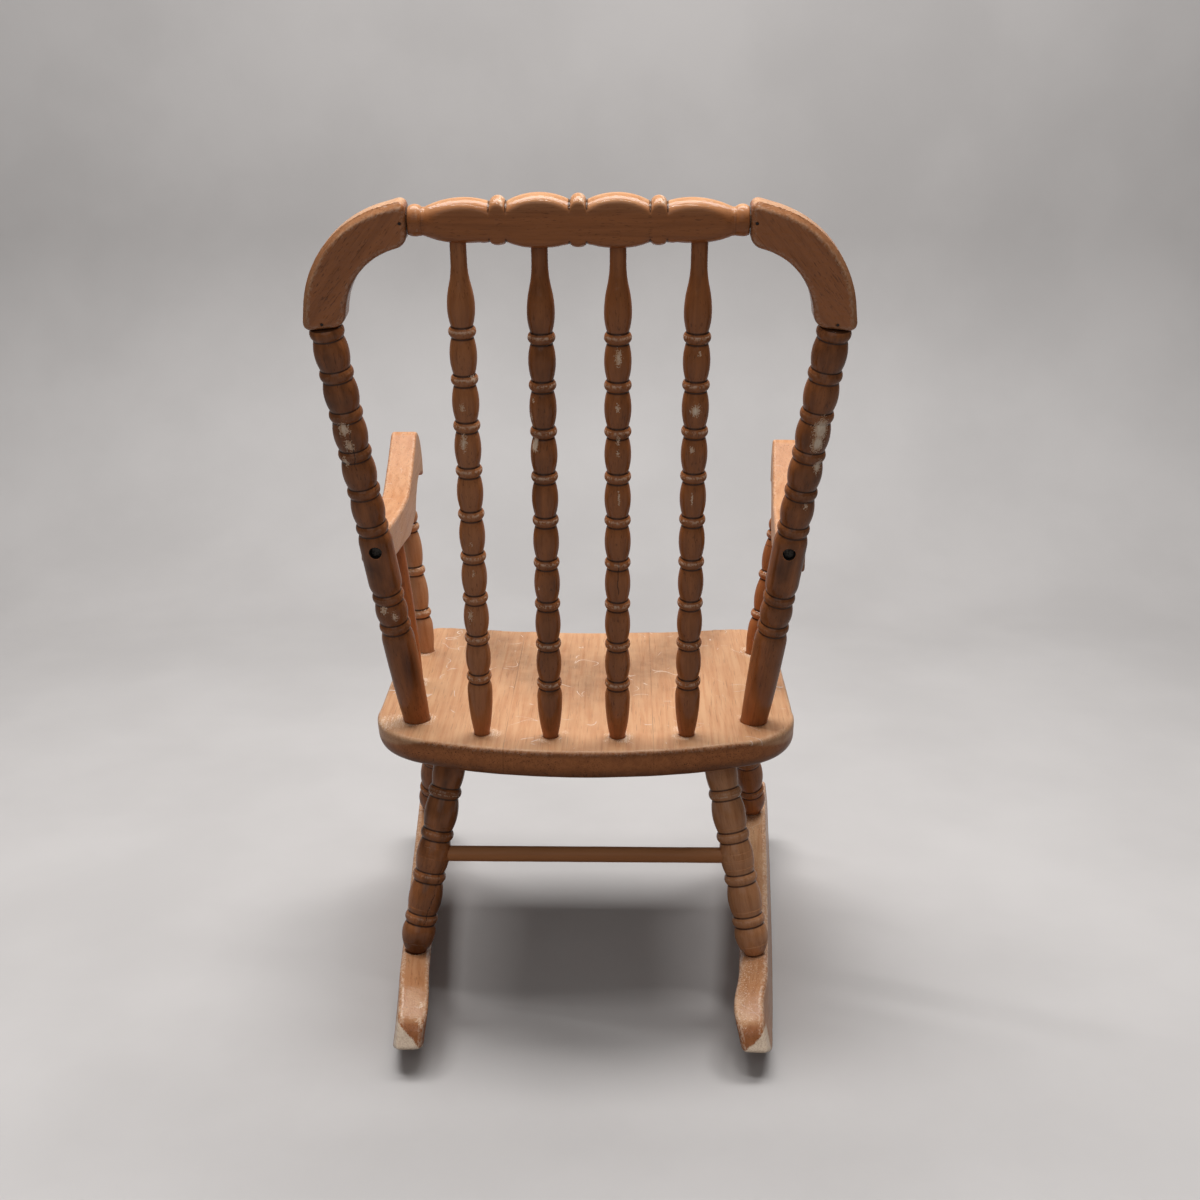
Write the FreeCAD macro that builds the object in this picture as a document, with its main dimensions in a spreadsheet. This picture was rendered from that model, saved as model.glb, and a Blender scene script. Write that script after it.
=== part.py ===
"""Child's spindle-back rocking chair, as an assembly of turned and sawn wooden pieces.

Frame: the origin is on the floor under the middle of the chair, +Z is up, the chair faces -Y
and +X is the sitter's left. Lengths are millimetres and angles are degrees.
"""

import FreeCAD, Part
import math
import os
import re
import Sketcher

VECTOR = FreeCAD.Vector
LEFT = 1
RIGHT = -1
SIDES = {"left": LEFT, "right": RIGHT}
SIDE_NAMES = {side: name for name, side in SIDES.items()}
ARM_HUMP = ("arm_hump", "arm_hump_top")
ARM_WAIST = ("arm_waist", "arm_waist_top")
LEG_TOPS = {"rear": "rear_top_setback - seat_rear", "front": "seat_front - front_top_setback"}
TINY = 1e-6

SIZES = {
    # Fits: room for glue around a tenon, and how far a cutter runs past a surface.
    "glue_gap": 0.15,
    "cutter_run": 12,
    # Seat, measured in its own tilted plane from the middle of the row of back spindles.
    "seat_height": 262.5,
    "seat_tilt": 3,
    "seat_row": 128,
    "seat_width": 360.5,
    "seat_rear": 33,
    "seat_front": 263,
    "seat_thickness": 26.5,
    "seat_top_round": 4,
    "seat_edge_round": 10,
    "rear_bow": 23,
    "rear_corner_width": 42,
    "rear_corner_depth": 67,
    "rear_corner_bulge": 14,
    "front_corner": 40,
    "front_corner_bulge": 11.7,
    "saddle_dip": 5.7,
    "saddle_radius": 2000,
    "saddle_start": 30,
    # Back: one leaning plane holds the crest rail and the ears.
    "back_lean": 11.3,
    "back_height": 430.7,
    "spindle_inner": 28,
    "spindle_outer": 86,
    "spindle_bow": 5,
    "spindle_tenon": 15,
    "spindle_foot": 12.5,
    "spindle_neck": 12,
    "spindle_barrel": 20.5,
    "spindle_bead": 20.6,
    "spindle_groove": 16.2,
    "spindle_bead_width": 8,
    "spindle_foot_length": 52.4,
    "spindle_head_length": 85.3,
    "spindle_vase_drop": 67,
    "spindle_neck_drop": 30,
    "spindle_top_cover": 6,
    "spindle_shoulder": 13,
    "spindle_units": 8,
    "first_spindle_lift": 4.2,
    # Crest rail, from its middle to its ends.
    "crest_half": 121,
    "crest_flat": 22.6,
    "crest_middle_bead": 37.5,
    "crest_inner_lobe": 38.4,
    "crest_side_bead": 34.6,
    "crest_outer_lobe": 31.6,
    "crest_end_bead": 22.5,
    "crest_groove": 28,
    "crest_side_groove": 26,
    "crest_end_groove": 17,
    "crest_side_place": 56.7,
    "crest_bead_width": 11.4,
    "crest_end_width": 11,
    "crest_outer_peak": 80,
    # Ears: curved boards from the crest ends to the post tops.
    "ear_drop": 77,
    "ear_reach": 64.8,
    "ear_fall": 16,
    "ear_stand": 83,
    "ear_bend": 68,
    "ear_width": 31,
    "ear_thickness": 22,
    "ear_corner": 5.5,
    "ear_inner_corner": 11,
    "ear_round": 4,
    "ear_dowel": 9.5,
    "ear_dowel_length": 30,
    "ear_pin": 1.8,
    "ear_pin_length": 16,
    "ear_pin_inset": 4.2,
    "ear_pin_set": 0.6,
    # Back posts.
    "post_foot_inset": 35.55,
    "post_foot_forward": 33.7,
    "post_tenon": 17,
    "post_foot": 22.5,
    "post_barrel": 26.4,
    "post_plain": 27,
    "post_bead": 26,
    "post_groove": 22.4,
    "post_bead_width": 9,
    "post_bead_pitch": 33.1,
    "post_units": 5,
    "post_low_bead": 264,
    "post_low_pitch": 29,
    "post_shoulder": 14,
    # Arms: sawn in side view, set out from the back of the arm forward and up.
    "left_arm_height": 413.3,
    "right_arm_height": 406.3,
    "arm_rear_depth": 30.4,
    "arm_width": 24,
    "arm_outset": 2.5,
    "left_arm_toe_out": 1.5,
    "right_arm_toe_out": 4.3,
    "arm_clear": 8,
    "arm_length": 256,
    "arm_waist": 136,
    "arm_waist_top": 26,
    "arm_waist_drop": 11,
    "arm_throat": 185,
    "arm_throat_drop": 1,
    "arm_notch": 214,
    "arm_notch_rise": 25.5,
    "arm_nose": 5,
    "arm_nose_drop": 3,
    "arm_hump": 214,
    "arm_hump_top": 71,
    "arm_belly_bulge": 1.5,
    "arm_throat_hollow": 4,
    "arm_nose_hollow": 3,
    "arm_nose_bulge": 3,
    "arm_front_bulge": 9,
    "arm_back_hollow": 3,
    "arm_top_hollow": 2,
    "arm_corner": 5,
    "arm_hump_round": 14,
    "arm_waist_round": 60,
    "arm_edge_round": 2.5,
    # Turned pieces under the arms.
    "support_inset": 23.25,
    "support_setback": 68,
    "support_along": 195,
    "support_rise": 20,
    "support_top_cover": 20,
    "support_tenon": 9,
    "support_foot": 14,
    "support_neck": 13,
    "support_barrel": 19,
    "support_bead": 19.4,
    "support_groove": 14.6,
    "support_bead_width": 8,
    "support_foot_length": 39.5,
    "support_head_length": 37,
    "support_units": 2,
    "arm_spindle_inset": 24.25,
    "arm_spindle_forward": 118,
    "arm_spindle_along": 108,
    "arm_spindle_rise": 10,
    "arm_spindle_end": 12,
    "arm_spindle_middle": 15.5,
    "arm_spindle_tenon": 13,
    # Arm screws, through the posts from behind.
    "screw_bore": 9.5,
    "screw_seat": 9,
    "screw_head": 8,
    "screw_head_height": 3,
    "screw_shank": 4,
    "screw_length": 42,
    "screw_height": 427,
    # Legs: their tops are set in from the seat's edges, and their feet spread out from there.
    "rear_top_inset": 66.25,
    "rear_top_setback": 55,
    "rear_splay": 34,
    "rear_rake": -29.07,
    "front_top_inset": 35.25,
    "front_top_setback": 51,
    "front_splay": 22.8,
    "front_rake": 61.11,
    "leg_tenon": 13,
    "leg_top": 27.5,
    "leg_barrel": 29,
    "leg_bead": 28.6,
    "leg_groove": 24.5,
    "leg_bead_width": 9,
    "leg_foot": 15.5,
    "leg_foot_tenon": 17,
    "leg_foot_length": 31.5,
    "leg_head_length": 34,
    "leg_shoulder": 13,
    "leg_units": 3,
    "stretcher_rise": 89,
    "stretcher_diameter": 13.4,
    "stretcher_tenon": 9,
    # Rockers: curved boards that lean with the legs and roll on one cylinder.
    "rocker_length": 463,
    "rocker_thickness": 25,
    "rear_rocker_outset": -1.2,
    "front_rocker_outset": 1.6,
    "rocker_height": 60,
    "rocker_radius": 820,
    "rocker_top_radius": 1400,
    "rocker_low_place": 38,
    "rocker_lean": 6,
    "rocker_tip_round": 34,
    "rocker_tail": 72,
    "rocker_tail_fall": 28,
    "rocker_tail_bulge": 3,
    "rocker_tail_round": 60,
    "rocker_end_round": 11,
    "rocker_edge_round": 3.5,
}

doc = FreeCAD.newDocument("rocking_chair")
sheet = doc.addObject("Spreadsheet::Sheet", "Sizes")
for row, (alias, number) in enumerate(SIZES.items(), start=1):
    sheet.set(f"A{row}", alias)
    sheet.set(f"B{row}", str(number))
    sheet.setAlias(f"B{row}", alias)
doc.recompute()

nodes = []


def cells(formula):
    """The formula with every size name turned into a reference to its cell."""
    return re.sub(r"[a-z][a-z_]+", r"Sizes.\g<0>", formula)


def value(term):
    """The number that a formula of sizes stands for; a plain number stays as it is."""
    return float(sheet.evalExpression(cells(term))) if isinstance(term, str) else float(term)


def bind(item, field, term):
    """Drive a property from the sheet, or set a worked-out number."""
    if isinstance(term, str):
        item.setExpression(field, cells(term))
    else:
        item.setExpression(field, repr(float(term)))


def sine(term):
    return math.sin(math.radians(value(term)))


def cosine(term):
    return math.cos(math.radians(value(term)))


def tangent(term):
    return math.tan(math.radians(value(term)))


# Sketches and solids


def origin_plane(body, role):
    return next(item for item in body.Origin.OriginFeatures if item.Role == role)


def bulged_edge(start, end, bulge):
    """A straight edge, or an arc that stands out to the right of the way from start to end."""
    if not bulge:
        return Part.LineSegment(start, end)
    way = end - start
    right = VECTOR(way.y, -way.x, 0).normalize()
    return Part.Arc(start, (start + end) / 2 + right * bulge, end)


def draw_outline(body, role, corners):
    """A closed sketch through corners (x, y, bulge of the edge that ends there)."""
    sketch = body.newObject("Sketcher::SketchObject", body.Name + "_outline")
    sketch.AttachmentSupport = [(origin_plane(body, role), "")]
    sketch.MapMode = "FlatFace"
    points = [VECTOR(value(x), value(y), 0) for x, y, bulge in corners]
    rules = []
    bound = []
    ends = []
    for index, (x, y, bulge) in enumerate(corners):
        start = points[index - 1]
        end = points[index]
        sketch.addGeometry(bulged_edge(start, end, value(bulge)))
        forward = sketch.getPoint(index, 1).distanceToPoint(start) < TINY
        ends.append((1, 2) if forward else (2, 1))
        if value(bulge):
            half = start.distanceToPoint(end) / 2
            radius = (half**2 + value(bulge) ** 2) / (2 * abs(value(bulge)))
            rules.append(Sketcher.Constraint("Radius", index, radius))
    for index, (x, y, bulge) in enumerate(corners):
        following = (index + 1) % len(corners)
        tip = ends[index][1]
        rules.append(Sketcher.Constraint("Coincident", index, tip, following, ends[following][0]))
        for kind, term, axis in (("DistanceX", x, -2), ("DistanceY", y, -1)):
            if value(term) == 0:
                rules.append(Sketcher.Constraint("PointOnObject", index, tip, axis))
                continue
            rules.append(Sketcher.Constraint(kind, -1, 1, index, tip, value(term)))
            if isinstance(term, str):
                bound.append((len(rules) - 1, term))
    sketch.addConstraint(rules)
    for number, term in bound:
        sketch.setExpression(f"Constraints[{number}]", cells(term))
    return sketch


def revolve(body, corners):
    """A turned solid about the body's Z axis from corners (radius, height, bulge)."""
    turning = body.newObject("PartDesign::Revolution", body.Name + "_turning")
    turning.Profile = draw_outline(body, "XZ_Plane", corners)
    turning.ReferenceAxis = (turning.Profile[0], ["V_Axis"])
    turning.Angle = 360
    return turning


def repeat_upwards(body, feature, count, pitch):
    """Copies of a turned unit up the body's axis."""
    pattern = body.newObject("PartDesign::LinearPattern", body.Name + "_row")
    pattern.Originals = [feature]
    pattern.Direction = (feature.Profile[0], ["V_Axis"])
    bind(pattern, "Occurrences", count)
    bind(pattern, "Length", pitch * (value(count) - 1))
    body.Tip = pattern
    return pattern


def new_body(name):
    return doc.addObject("PartDesign::Body", name)


def sawn_board(name, corners, thickness):
    """A flat board of a sawn outline, centred on the sketch plane."""
    body = new_body(name)
    pad = body.newObject("PartDesign::Pad", name + "_board")
    pad.Profile = draw_outline(body, "XY_Plane", corners)
    pad.SideType = "Symmetric"
    bind(pad, "Length", thickness)
    doc.recompute()
    return body, pad


def round_edges(body, base, chosen, radius):
    """Round the chosen edges of a feature."""
    fillet = body.newObject("PartDesign::Fillet", body.Name + "_round")
    names = [f"Edge{i}" for i, edge in enumerate(base.Shape.Edges, start=1) if chosen(edge)]
    fillet.Base = (base, names)
    bind(fillet, "Radius", radius)
    doc.recompute()
    return fillet


def on_faces(edge):
    """True for an edge that lies in one face of a board rather than across it."""
    return abs(edge.Vertexes[0].Z - edge.Vertexes[-1].Z) < TINY


def on_upper_face(edge):
    return on_faces(edge) and edge.Vertexes[0].Z > 0


def on_lower_face(edge):
    return on_faces(edge) and edge.Vertexes[0].Z < 0


def across(edge):
    return not on_faces(edge)


def standing_on(corners):
    """A choice of the edges across a board that stand on given corners of its outline."""
    spots = [VECTOR(value(x), value(y), 0) for x, y in corners]

    def chosen(edge):
        middle = edge.BoundBox.Center
        foot = VECTOR(middle.x, middle.y, 0)
        return across(edge) and any(foot.distanceToPoint(spot) < value("glue_gap") for spot in spots)

    return chosen


def axis_place(start, end):
    """A placement at start whose Z axis points to end."""
    return FreeCAD.Placement(start, FreeCAD.Rotation(VECTOR(0, 0, 1), end - start))


def frame_place(base, along, up):
    """A placement at base whose X axis is along and whose Y axis is up."""
    return FreeCAD.Placement(base, FreeCAD.Rotation(along, up, along.cross(up), "XYZ"))


def rod(name, place, low, high, diameter, room=0):
    """A round bar on a placement's Z axis, from low to high, with room added all round."""
    bar = doc.addObject("Part::Cylinder", name)
    bind(bar, "Radius", f"({diameter}) / 2 + ({room})")
    bind(bar, "Height", value(high) - value(low))
    bar.Placement = place * FreeCAD.Placement(VECTOR(0, 0, value(low)), FreeCAD.Rotation())
    return bar


def bore(name, place, low, high, diameter):
    """The socket cutter for a round end: the end's own diameter with room for glue."""
    return rod(name, place, low, high, diameter, "glue_gap")


def cut(name, base, tools):
    """The base with every tool taken out of it."""
    tool = tools[0]
    if len(tools) > 1:
        tool = doc.addObject("Part::MultiFuse", name + "_cutters")
        tool.Shapes = tools
    result = doc.addObject("Part::Cut", name)
    result.Base = base
    result.Tool = tool
    return result


def group(name, members):
    compound = doc.addObject("Part::Compound", name)
    compound.Links = members
    return compound


def hand_in(name, item):
    """List a finished sub-part under its own label."""
    item.Label = name
    nodes.append(item)
    return item


# Joint points


def seat_place():
    """The seat's own frame: X to the left, Y to the back, Z out of the seat."""
    tilt = FreeCAD.Rotation(VECTOR(1, 0, 0), -value("seat_tilt"))
    return FreeCAD.Placement(VECTOR(0, value("seat_row"), value("seat_height")), tilt)


def on_seat(x, forward, drop=0):
    """A point of the seat's top plane, forward of the spindle row, or as far below it as drop."""
    return seat_place().multVec(VECTOR(x, -forward, -drop))


BACK_UP = VECTOR(0, sine("back_lean"), cosine("back_lean"))
BACK_OUT = VECTOR(0, cosine("back_lean"), -sine("back_lean"))
CREST_MIDDLE = on_seat(0, 0) + BACK_UP * value("back_height")


def on_back(x, up):
    """A point of the leaning back plane, measured from the middle of the crest rail."""
    return CREST_MIDDLE + VECTOR(x, 0, 0) + BACK_UP * up


def inset(term):
    """How far a place stands to the side when it is set in from the seat's edge."""
    return value(f"seat_width / 2 - {term}")


def post_ends(side):
    foot = on_seat(side * inset("post_foot_inset"), value("post_foot_forward"))
    top = on_back(side * value("crest_half + ear_reach"), -value("ear_drop"))
    return foot, top


def post_at(side, height):
    """The point of a back post's axis at a height over the floor."""
    foot, top = post_ends(side)
    return foot + (top - foot) * ((height - foot.z) / (top.z - foot.z))


def arm_way(side):
    """The level direction of an arm, forward and a little outward."""
    toe_out = SIDE_NAMES[side] + "_arm_toe_out"
    return VECTOR(side * sine(toe_out), -cosine(toe_out), 0)


def arm_start(side):
    """The lower rear corner of an arm, on its mid-plane."""
    height = SIDE_NAMES[side] + "_arm_height"
    post = post_at(side, value(height + " + arm_rear_depth / 2"))
    rear = VECTOR(post.x + side * value("arm_outset"), post.y, value(height))
    return rear + arm_way(side) * value("arm_clear")


def on_arm(side, along, rise):
    """A point of an arm's mid-plane, along from its rear end and up from its lower rear corner."""
    return arm_start(side) + arm_way(side) * along + VECTOR(0, 0, rise)


def rocker_top(y):
    """Height of the rockers' top edge over a place on the floor."""
    away = y - value("rocker_low_place")
    return value("rocker_height") + away**2 / value("2 * rocker_top_radius")


def leg_ends(side, end):
    """Foot and top of a front or rear leg: on the rocker's top edge and in the seat's bottom plane."""
    place = inset(f"{end}_top_inset")
    top = on_seat(side * place, value(LEG_TOPS[end]), value("seat_thickness"))
    foot_y = top.y - value(f"{end}_rake")
    foot = VECTOR(side * (place + value(f"{end}_splay")), foot_y, rocker_top(foot_y))
    return foot, top


# Turned pieces


def shoulder(radius_low, low, radius_high, high):
    """Bulge of an arc that leaves the wider of its two ends along the axis."""
    run = high - low
    step = abs(value(radius_high) - value(radius_low))
    return math.hypot(run, step) / 2 * math.tan(math.atan2(step, run) / 2)


def rounded_to(corner, radius, height):
    """The next corner of a profile, on an arc that leaves the wider end along the axis."""
    return (radius, height, shoulder(corner[0], corner[1], radius, height))


def hollowed_to(corner, radius, height):
    """The next corner of a profile, on a hollow arc that leaves the narrower end along the axis."""
    return (radius, height, -shoulder(corner[0], corner[1], radius, height))


def bead_over(kind, height):
    """Two corners that turn one bead, centred on a height, between its two grooves."""
    half = value(f"{kind}_bead_width / 2")
    swell = value(f"({kind}_bead - {kind}_groove) / 2")
    groove = f"{kind}_groove / 2"
    return [(groove, height - half, 0), (groove, height + half, swell)]


def beaded_turning(name, kind, first, last, lower, upper):
    """A turning with beads from height first to height last and barrels between them.

    The corners of the profile below the first bead and above the last one are given, from the bottom up.
    """
    body = new_body(name)
    units = f"{kind}_units"
    pitch = (last - first) / value(units)
    half = value(f"{kind}_bead_width / 2")
    groove = f"{kind}_groove / 2"
    inside = f"{kind}_groove / 4"
    bead = bead_over(kind, first)
    core = [(0, lower[0][1], 0)] + lower
    core += [rounded_to(lower[-1], groove, bead[0][1]), bead[1]]
    core += [(groove, last + half, 0)] + upper
    core += [(0, core[-1][1], 0)]
    revolve(body, core)
    barrel_top = first + pitch - half
    barrel_swell = value(f"({kind}_barrel - {kind}_groove) / 2")
    next_bead = bead_over(kind, first + pitch)
    unit = [
        (inside, first + half, 0),
        (groove, first + half, 0),
        (groove, barrel_top, barrel_swell),
        next_bead[1],
        (inside, next_bead[1][1], 0),
    ]
    repeat_upwards(body, revolve(body, unit), units, pitch)
    return body


def back_spindle(number, x, bow, lift):
    """One spindle between seat and crest, its turning lifted a little; gives its seat and crest cutters."""
    name = f"back_spindle_{number}"
    foot = on_seat(x, bow)
    top = on_back(x, 0)
    length = foot.distanceToPoint(top)
    end = length - value("spindle_top_cover")
    first = value("spindle_foot_length") + lift
    last = length - value("spindle_head_length") + lift
    swell = ("spindle_barrel / 2", first - value("spindle_shoulder"), 0)
    tenon = ("spindle_foot / 2", -value("spindle_tenon"), 0)
    ankle = ("spindle_foot / 2", 0, 0)
    lower = [tenon, ankle, rounded_to(ankle, *swell[:2])]
    groove_top = ("spindle_groove / 2", last + value("spindle_bead_width / 2"), 0)
    vase = rounded_to(groove_top, "spindle_barrel / 2", length - value("spindle_vase_drop") + lift)
    neck_low = length - value("spindle_neck_drop")
    waist = rounded_to(vase, "(spindle_barrel + spindle_neck) / 4", (vase[1] + neck_low) / 2)
    neck = hollowed_to(waist, "spindle_neck / 2", neck_low)
    upper = [vase, waist, neck, ("spindle_neck / 2", end, 0)]
    body = beaded_turning(name, "spindle", first, last, lower, upper)
    body.Placement = axis_place(foot, top)
    hand_in(name, body)
    room = value("glue_gap")
    socket = bore(name + "_socket", body.Placement, tenon[1] - room, value("cutter_run"), "spindle_foot")
    mortise = bore(name + "_mortise", body.Placement, neck_low, end + room, "spindle_neck")
    return socket, mortise


def back_post(label, side):
    """One back post; gives its seat cutter."""
    name = f"{label}_back_post"
    foot, top = post_ends(side)
    length = foot.distanceToPoint(top)
    half = value("post_bead_width / 2")
    last = length - half
    first = last - value("post_units * post_bead_pitch")
    low_bead = length - value("post_low_bead")
    next_bead = low_bead + value("post_low_pitch")
    tenon = ("post_foot / 2", -value("post_tenon"), 0)
    ankle = ("post_foot / 2", 0, 0)
    calf = rounded_to(ankle, "post_plain / 2", low_bead - value("post_shoulder"))
    low = bead_over("post", low_bead)
    high = bead_over("post", next_bead)
    barrel_swell = value("(post_barrel - post_groove) / 2")
    plain_low = rounded_to(high[1], "post_plain / 2", high[1][1] + value("post_shoulder") - half)
    plain_high = ("post_plain / 2", first - value("post_shoulder"), 0)
    lower = [tenon, ankle, calf, rounded_to(calf, *low[0][:2]), low[1]]
    lower += [(*high[0][:2], barrel_swell), high[1], plain_low, plain_high]
    body = beaded_turning(name + "_turning", "post", first, last, lower, [])
    body.Placement = axis_place(foot, top)
    room = value("glue_gap")
    socket = bore(name + "_socket", body.Placement, tenon[1] - room, value("cutter_run"), "post_foot")
    screw = screw_place(side)
    shank_start = value("screw_seat - post_plain / 2")
    tools = [
        rod(name + "_counterbore", screw, shank_start - value("post_plain"), shank_start, "screw_bore"),
        bore(name + "_screw_hole", screw, shank_start, value("post_plain"), "screw_shank"),
        dowel_bore(name + "_dowel_hole", post_dowel_place(side)),
    ]
    hand_in(name, cut(name, body, tools))
    return socket


def front_arm_support(label, side):
    """One beaded turning between seat and arm; gives its cutters for the seat and for the arm."""
    name = f"{label}_front_arm_support"
    foot = on_seat(side * inset("support_inset"), value("seat_front - support_setback"))
    top = on_arm(side, value("support_along"), value("support_rise"))
    length = foot.distanceToPoint(top)
    first = value("support_foot_length")
    last = length - value("support_head_length")
    tenon = ("support_foot / 2", -value("support_tenon"), 0)
    ankle = ("support_foot / 2", 0, 0)
    calf = rounded_to(ankle, "support_barrel / 2", first - value("spindle_shoulder"))
    groove_top = ("support_groove / 2", last + value("support_bead_width / 2"), 0)
    vase = rounded_to(groove_top, "support_barrel / 2", groove_top[1] + value("spindle_shoulder / 2"))
    neck = rounded_to(vase, "support_neck / 2", length - value("support_top_cover"))
    upper = [vase, neck, ("support_neck / 2", length, 0)]
    body = beaded_turning(name, "support", first, last, [tenon, ankle, calf], upper)
    body.Placement = axis_place(foot, top)
    hand_in(name, body)
    room = value("glue_gap")
    socket = bore(name + "_socket", body.Placement, tenon[1] - room, value("cutter_run"), "support_foot")
    below = neck[1] - value("cutter_run")
    mortise = bore(name + "_mortise", body.Placement, below, length + room, "support_neck")
    return socket, mortise


def arm_spindle(label, side):
    """One plain turning between seat and arm; gives its cutters for the seat and for the arm."""
    name = f"{label}_arm_spindle"
    foot = on_seat(side * inset("arm_spindle_inset"), value("arm_spindle_forward"))
    top = on_arm(side, value("arm_spindle_along"), value("arm_spindle_rise"))
    length = foot.distanceToPoint(top)
    body = new_body(name)
    tenon = ("arm_spindle_end / 2", -value("arm_spindle_tenon"), 0)
    ankle = ("arm_spindle_end / 2", 0, 0)
    middle = rounded_to(ankle, "arm_spindle_middle / 2", length / 2)
    neck = rounded_to(middle, "arm_spindle_end / 2", length - value("arm_spindle_tenon"))
    end = ("arm_spindle_end / 2", length, 0)
    revolve(body, [(0, tenon[1], 0), tenon, ankle, middle, neck, end, (0, length, 0)])
    body.Placement = axis_place(foot, top)
    hand_in(name, body)
    room = value("glue_gap")
    socket = bore(name + "_socket", body.Placement, tenon[1] - room, value("cutter_run"), "arm_spindle_end")
    below = neck[1] - value("cutter_run")
    mortise = bore(name + "_mortise", body.Placement, below, length + room, "arm_spindle_end")
    return socket, mortise


def stretcher_end(side):
    """The point where the stretcher's axis meets a rear leg's axis."""
    foot, top = leg_ends(side, "rear")
    return foot + (top - foot).normalize() * value("stretcher_rise")


def leg(label, side, end):
    """One leg; gives its cutters for the seat and for the rocker."""
    name = f"{end}_{label}_leg"
    foot, top = leg_ends(side, end)
    length = foot.distanceToPoint(top)
    first = value("leg_foot_length")
    last = length - value("leg_head_length")
    tenon = ("leg_foot / 2", -value("leg_foot_tenon"), 0)
    ankle = ("leg_foot / 2", 0, 0)
    calf = rounded_to(ankle, "leg_barrel / 2", first - value("leg_shoulder"))
    groove_top = ("leg_groove / 2", last + value("leg_bead_width / 2"), 0)
    head = rounded_to(groove_top, "leg_top / 2", groove_top[1] + value("leg_shoulder"))
    end_height = length + value("leg_tenon")
    upper = [head, ("leg_top / 2", end_height, 0)]
    body = beaded_turning(name + "_turning", "leg", first, last, [tenon, ankle, calf], upper)
    body.Placement = axis_place(foot, top)
    room = value("glue_gap")
    socket = bore(name + "_socket", body.Placement, head[1], end_height + room, "leg_top")
    mortise = bore(name + "_mortise", body.Placement, tenon[1] - room, value("cutter_run"), "leg_foot")
    if end == "rear":
        middle = stretcher_end(side)
        inward = axis_place(middle, middle - VECTOR(side, 0, 0))
        start = value("leg_barrel / 2 - stretcher_tenon - glue_gap")
        hole = bore(name + "_stretcher_hole", inward, start, value("leg_barrel"), "stretcher_diameter")
        body = cut(name, body, [hole])
    hand_in(name, body)
    return socket, mortise


def rear_stretcher():
    left = stretcher_end(LEFT)
    right = stretcher_end(RIGHT)
    start = value("leg_barrel / 2 - stretcher_tenon")
    length = left.x - right.x
    dowel = rod("rear_stretcher", axis_place(left, right), start, length - start, "stretcher_diameter")
    hand_in("rear_stretcher", dowel)


# Crest rail and ears


def crest_rail(mortises):
    """The turned rail, planed flat in front and behind, with its spindle and dowel holes."""
    body = new_body("crest_rail_turning")
    half_bead = value("crest_bead_width / 2")
    side_place = value("crest_side_place")
    end = value("crest_half")
    stations = [
        ("crest_groove / 2", half_bead),
        ("crest_side_groove / 2", side_place - half_bead),
        ("crest_side_groove / 2", side_place + half_bead),
        ("crest_outer_lobe / 2", value("crest_outer_peak")),
        ("crest_end_groove / 2", end - value("crest_end_width")),
        ("crest_end_groove / 2", end),
    ]
    peak = stations[3]
    bulges = [
        value("crest_inner_lobe / 2 - (crest_groove + crest_side_groove) / 4"),
        value("(crest_side_bead - crest_side_groove) / 2"),
        shoulder(*stations[2], *peak),
        shoulder(*peak, *stations[4]),
        value("(crest_end_bead - crest_end_groove) / 2"),
    ]
    right_half = list(zip(stations[1:], bulges))
    left_half = list(zip(stations, bulges + [0]))
    profile = [(0, -end, 0)]
    profile += [(radius, -place, bulge) for (radius, place), bulge in reversed(left_half)]
    profile += [(*stations[0], value("(crest_middle_bead - crest_groove) / 2"))]
    profile += [(radius, place, bulge) for (radius, place), bulge in right_half]
    profile += [(0, end, 0)]
    revolve(body, profile)
    body.Placement = axis_place(on_back(0, 0), on_back(1, 0))
    slab = doc.addObject("Part::Box", "crest_slab")
    bind(slab, "Length", "2 * crest_half")
    bind(slab, "Width", "2 * crest_inner_lobe")
    bind(slab, "Height", "crest_flat")
    corner = on_back(-end, -value("crest_inner_lobe")) + BACK_OUT * value("crest_flat / 2")
    slab.Placement = frame_place(corner, VECTOR(1, 0, 0), BACK_UP)
    flat = doc.addObject("Part::Common", "crest_rail_flat")
    flat.Base = body
    flat.Tool = slab
    holes = []
    for label, side in SIDES.items():
        holes.append(dowel_bore(f"crest_{label}_dowel_hole", crest_dowel_place(side)))
    hand_in("crest_rail", cut("crest_rail", flat, mortises + holes))


def crest_dowel_place(side):
    """Middle of the dowel between crest and ear, with Z outward."""
    middle = on_back(side * value("crest_half"), 0)
    return axis_place(middle, middle + VECTOR(side, 0, 0))


def post_dowel_place(side):
    """Middle of the dowel between post and ear, with Z up along the post."""
    foot, top = post_ends(side)
    return axis_place(top, top + (top - foot))


def dowel_bore(name, place):
    half = value("ear_dowel_length / 2")
    return bore(name, place, -half, half, "ear_dowel")


def pin_place(dowel_place):
    """Outer end of a pin that crosses a dowel inside the ear, with Z inward from behind."""
    middle = dowel_place.multVec(VECTOR(0, 0, value("ear_pin_inset")))
    outer = middle + BACK_OUT * value("ear_thickness / 2 - ear_pin_set")
    return axis_place(outer, outer - BACK_OUT)


def pin_bore(name, dowel_place):
    return bore(name, pin_place(dowel_place), -value("cutter_run"), value("ear_pin_length"), "ear_pin")


def turned_left(way):
    """A flat direction turned a quarter turn to the left."""
    return VECTOR(-way.y, way.x, 0)


def crossing(start, way, other_start, other_way):
    """The point where two flat lines cross."""
    other_normal = turned_left(other_way)
    return start + way * ((other_start - start).dot(other_normal) / way.dot(other_normal))


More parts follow.
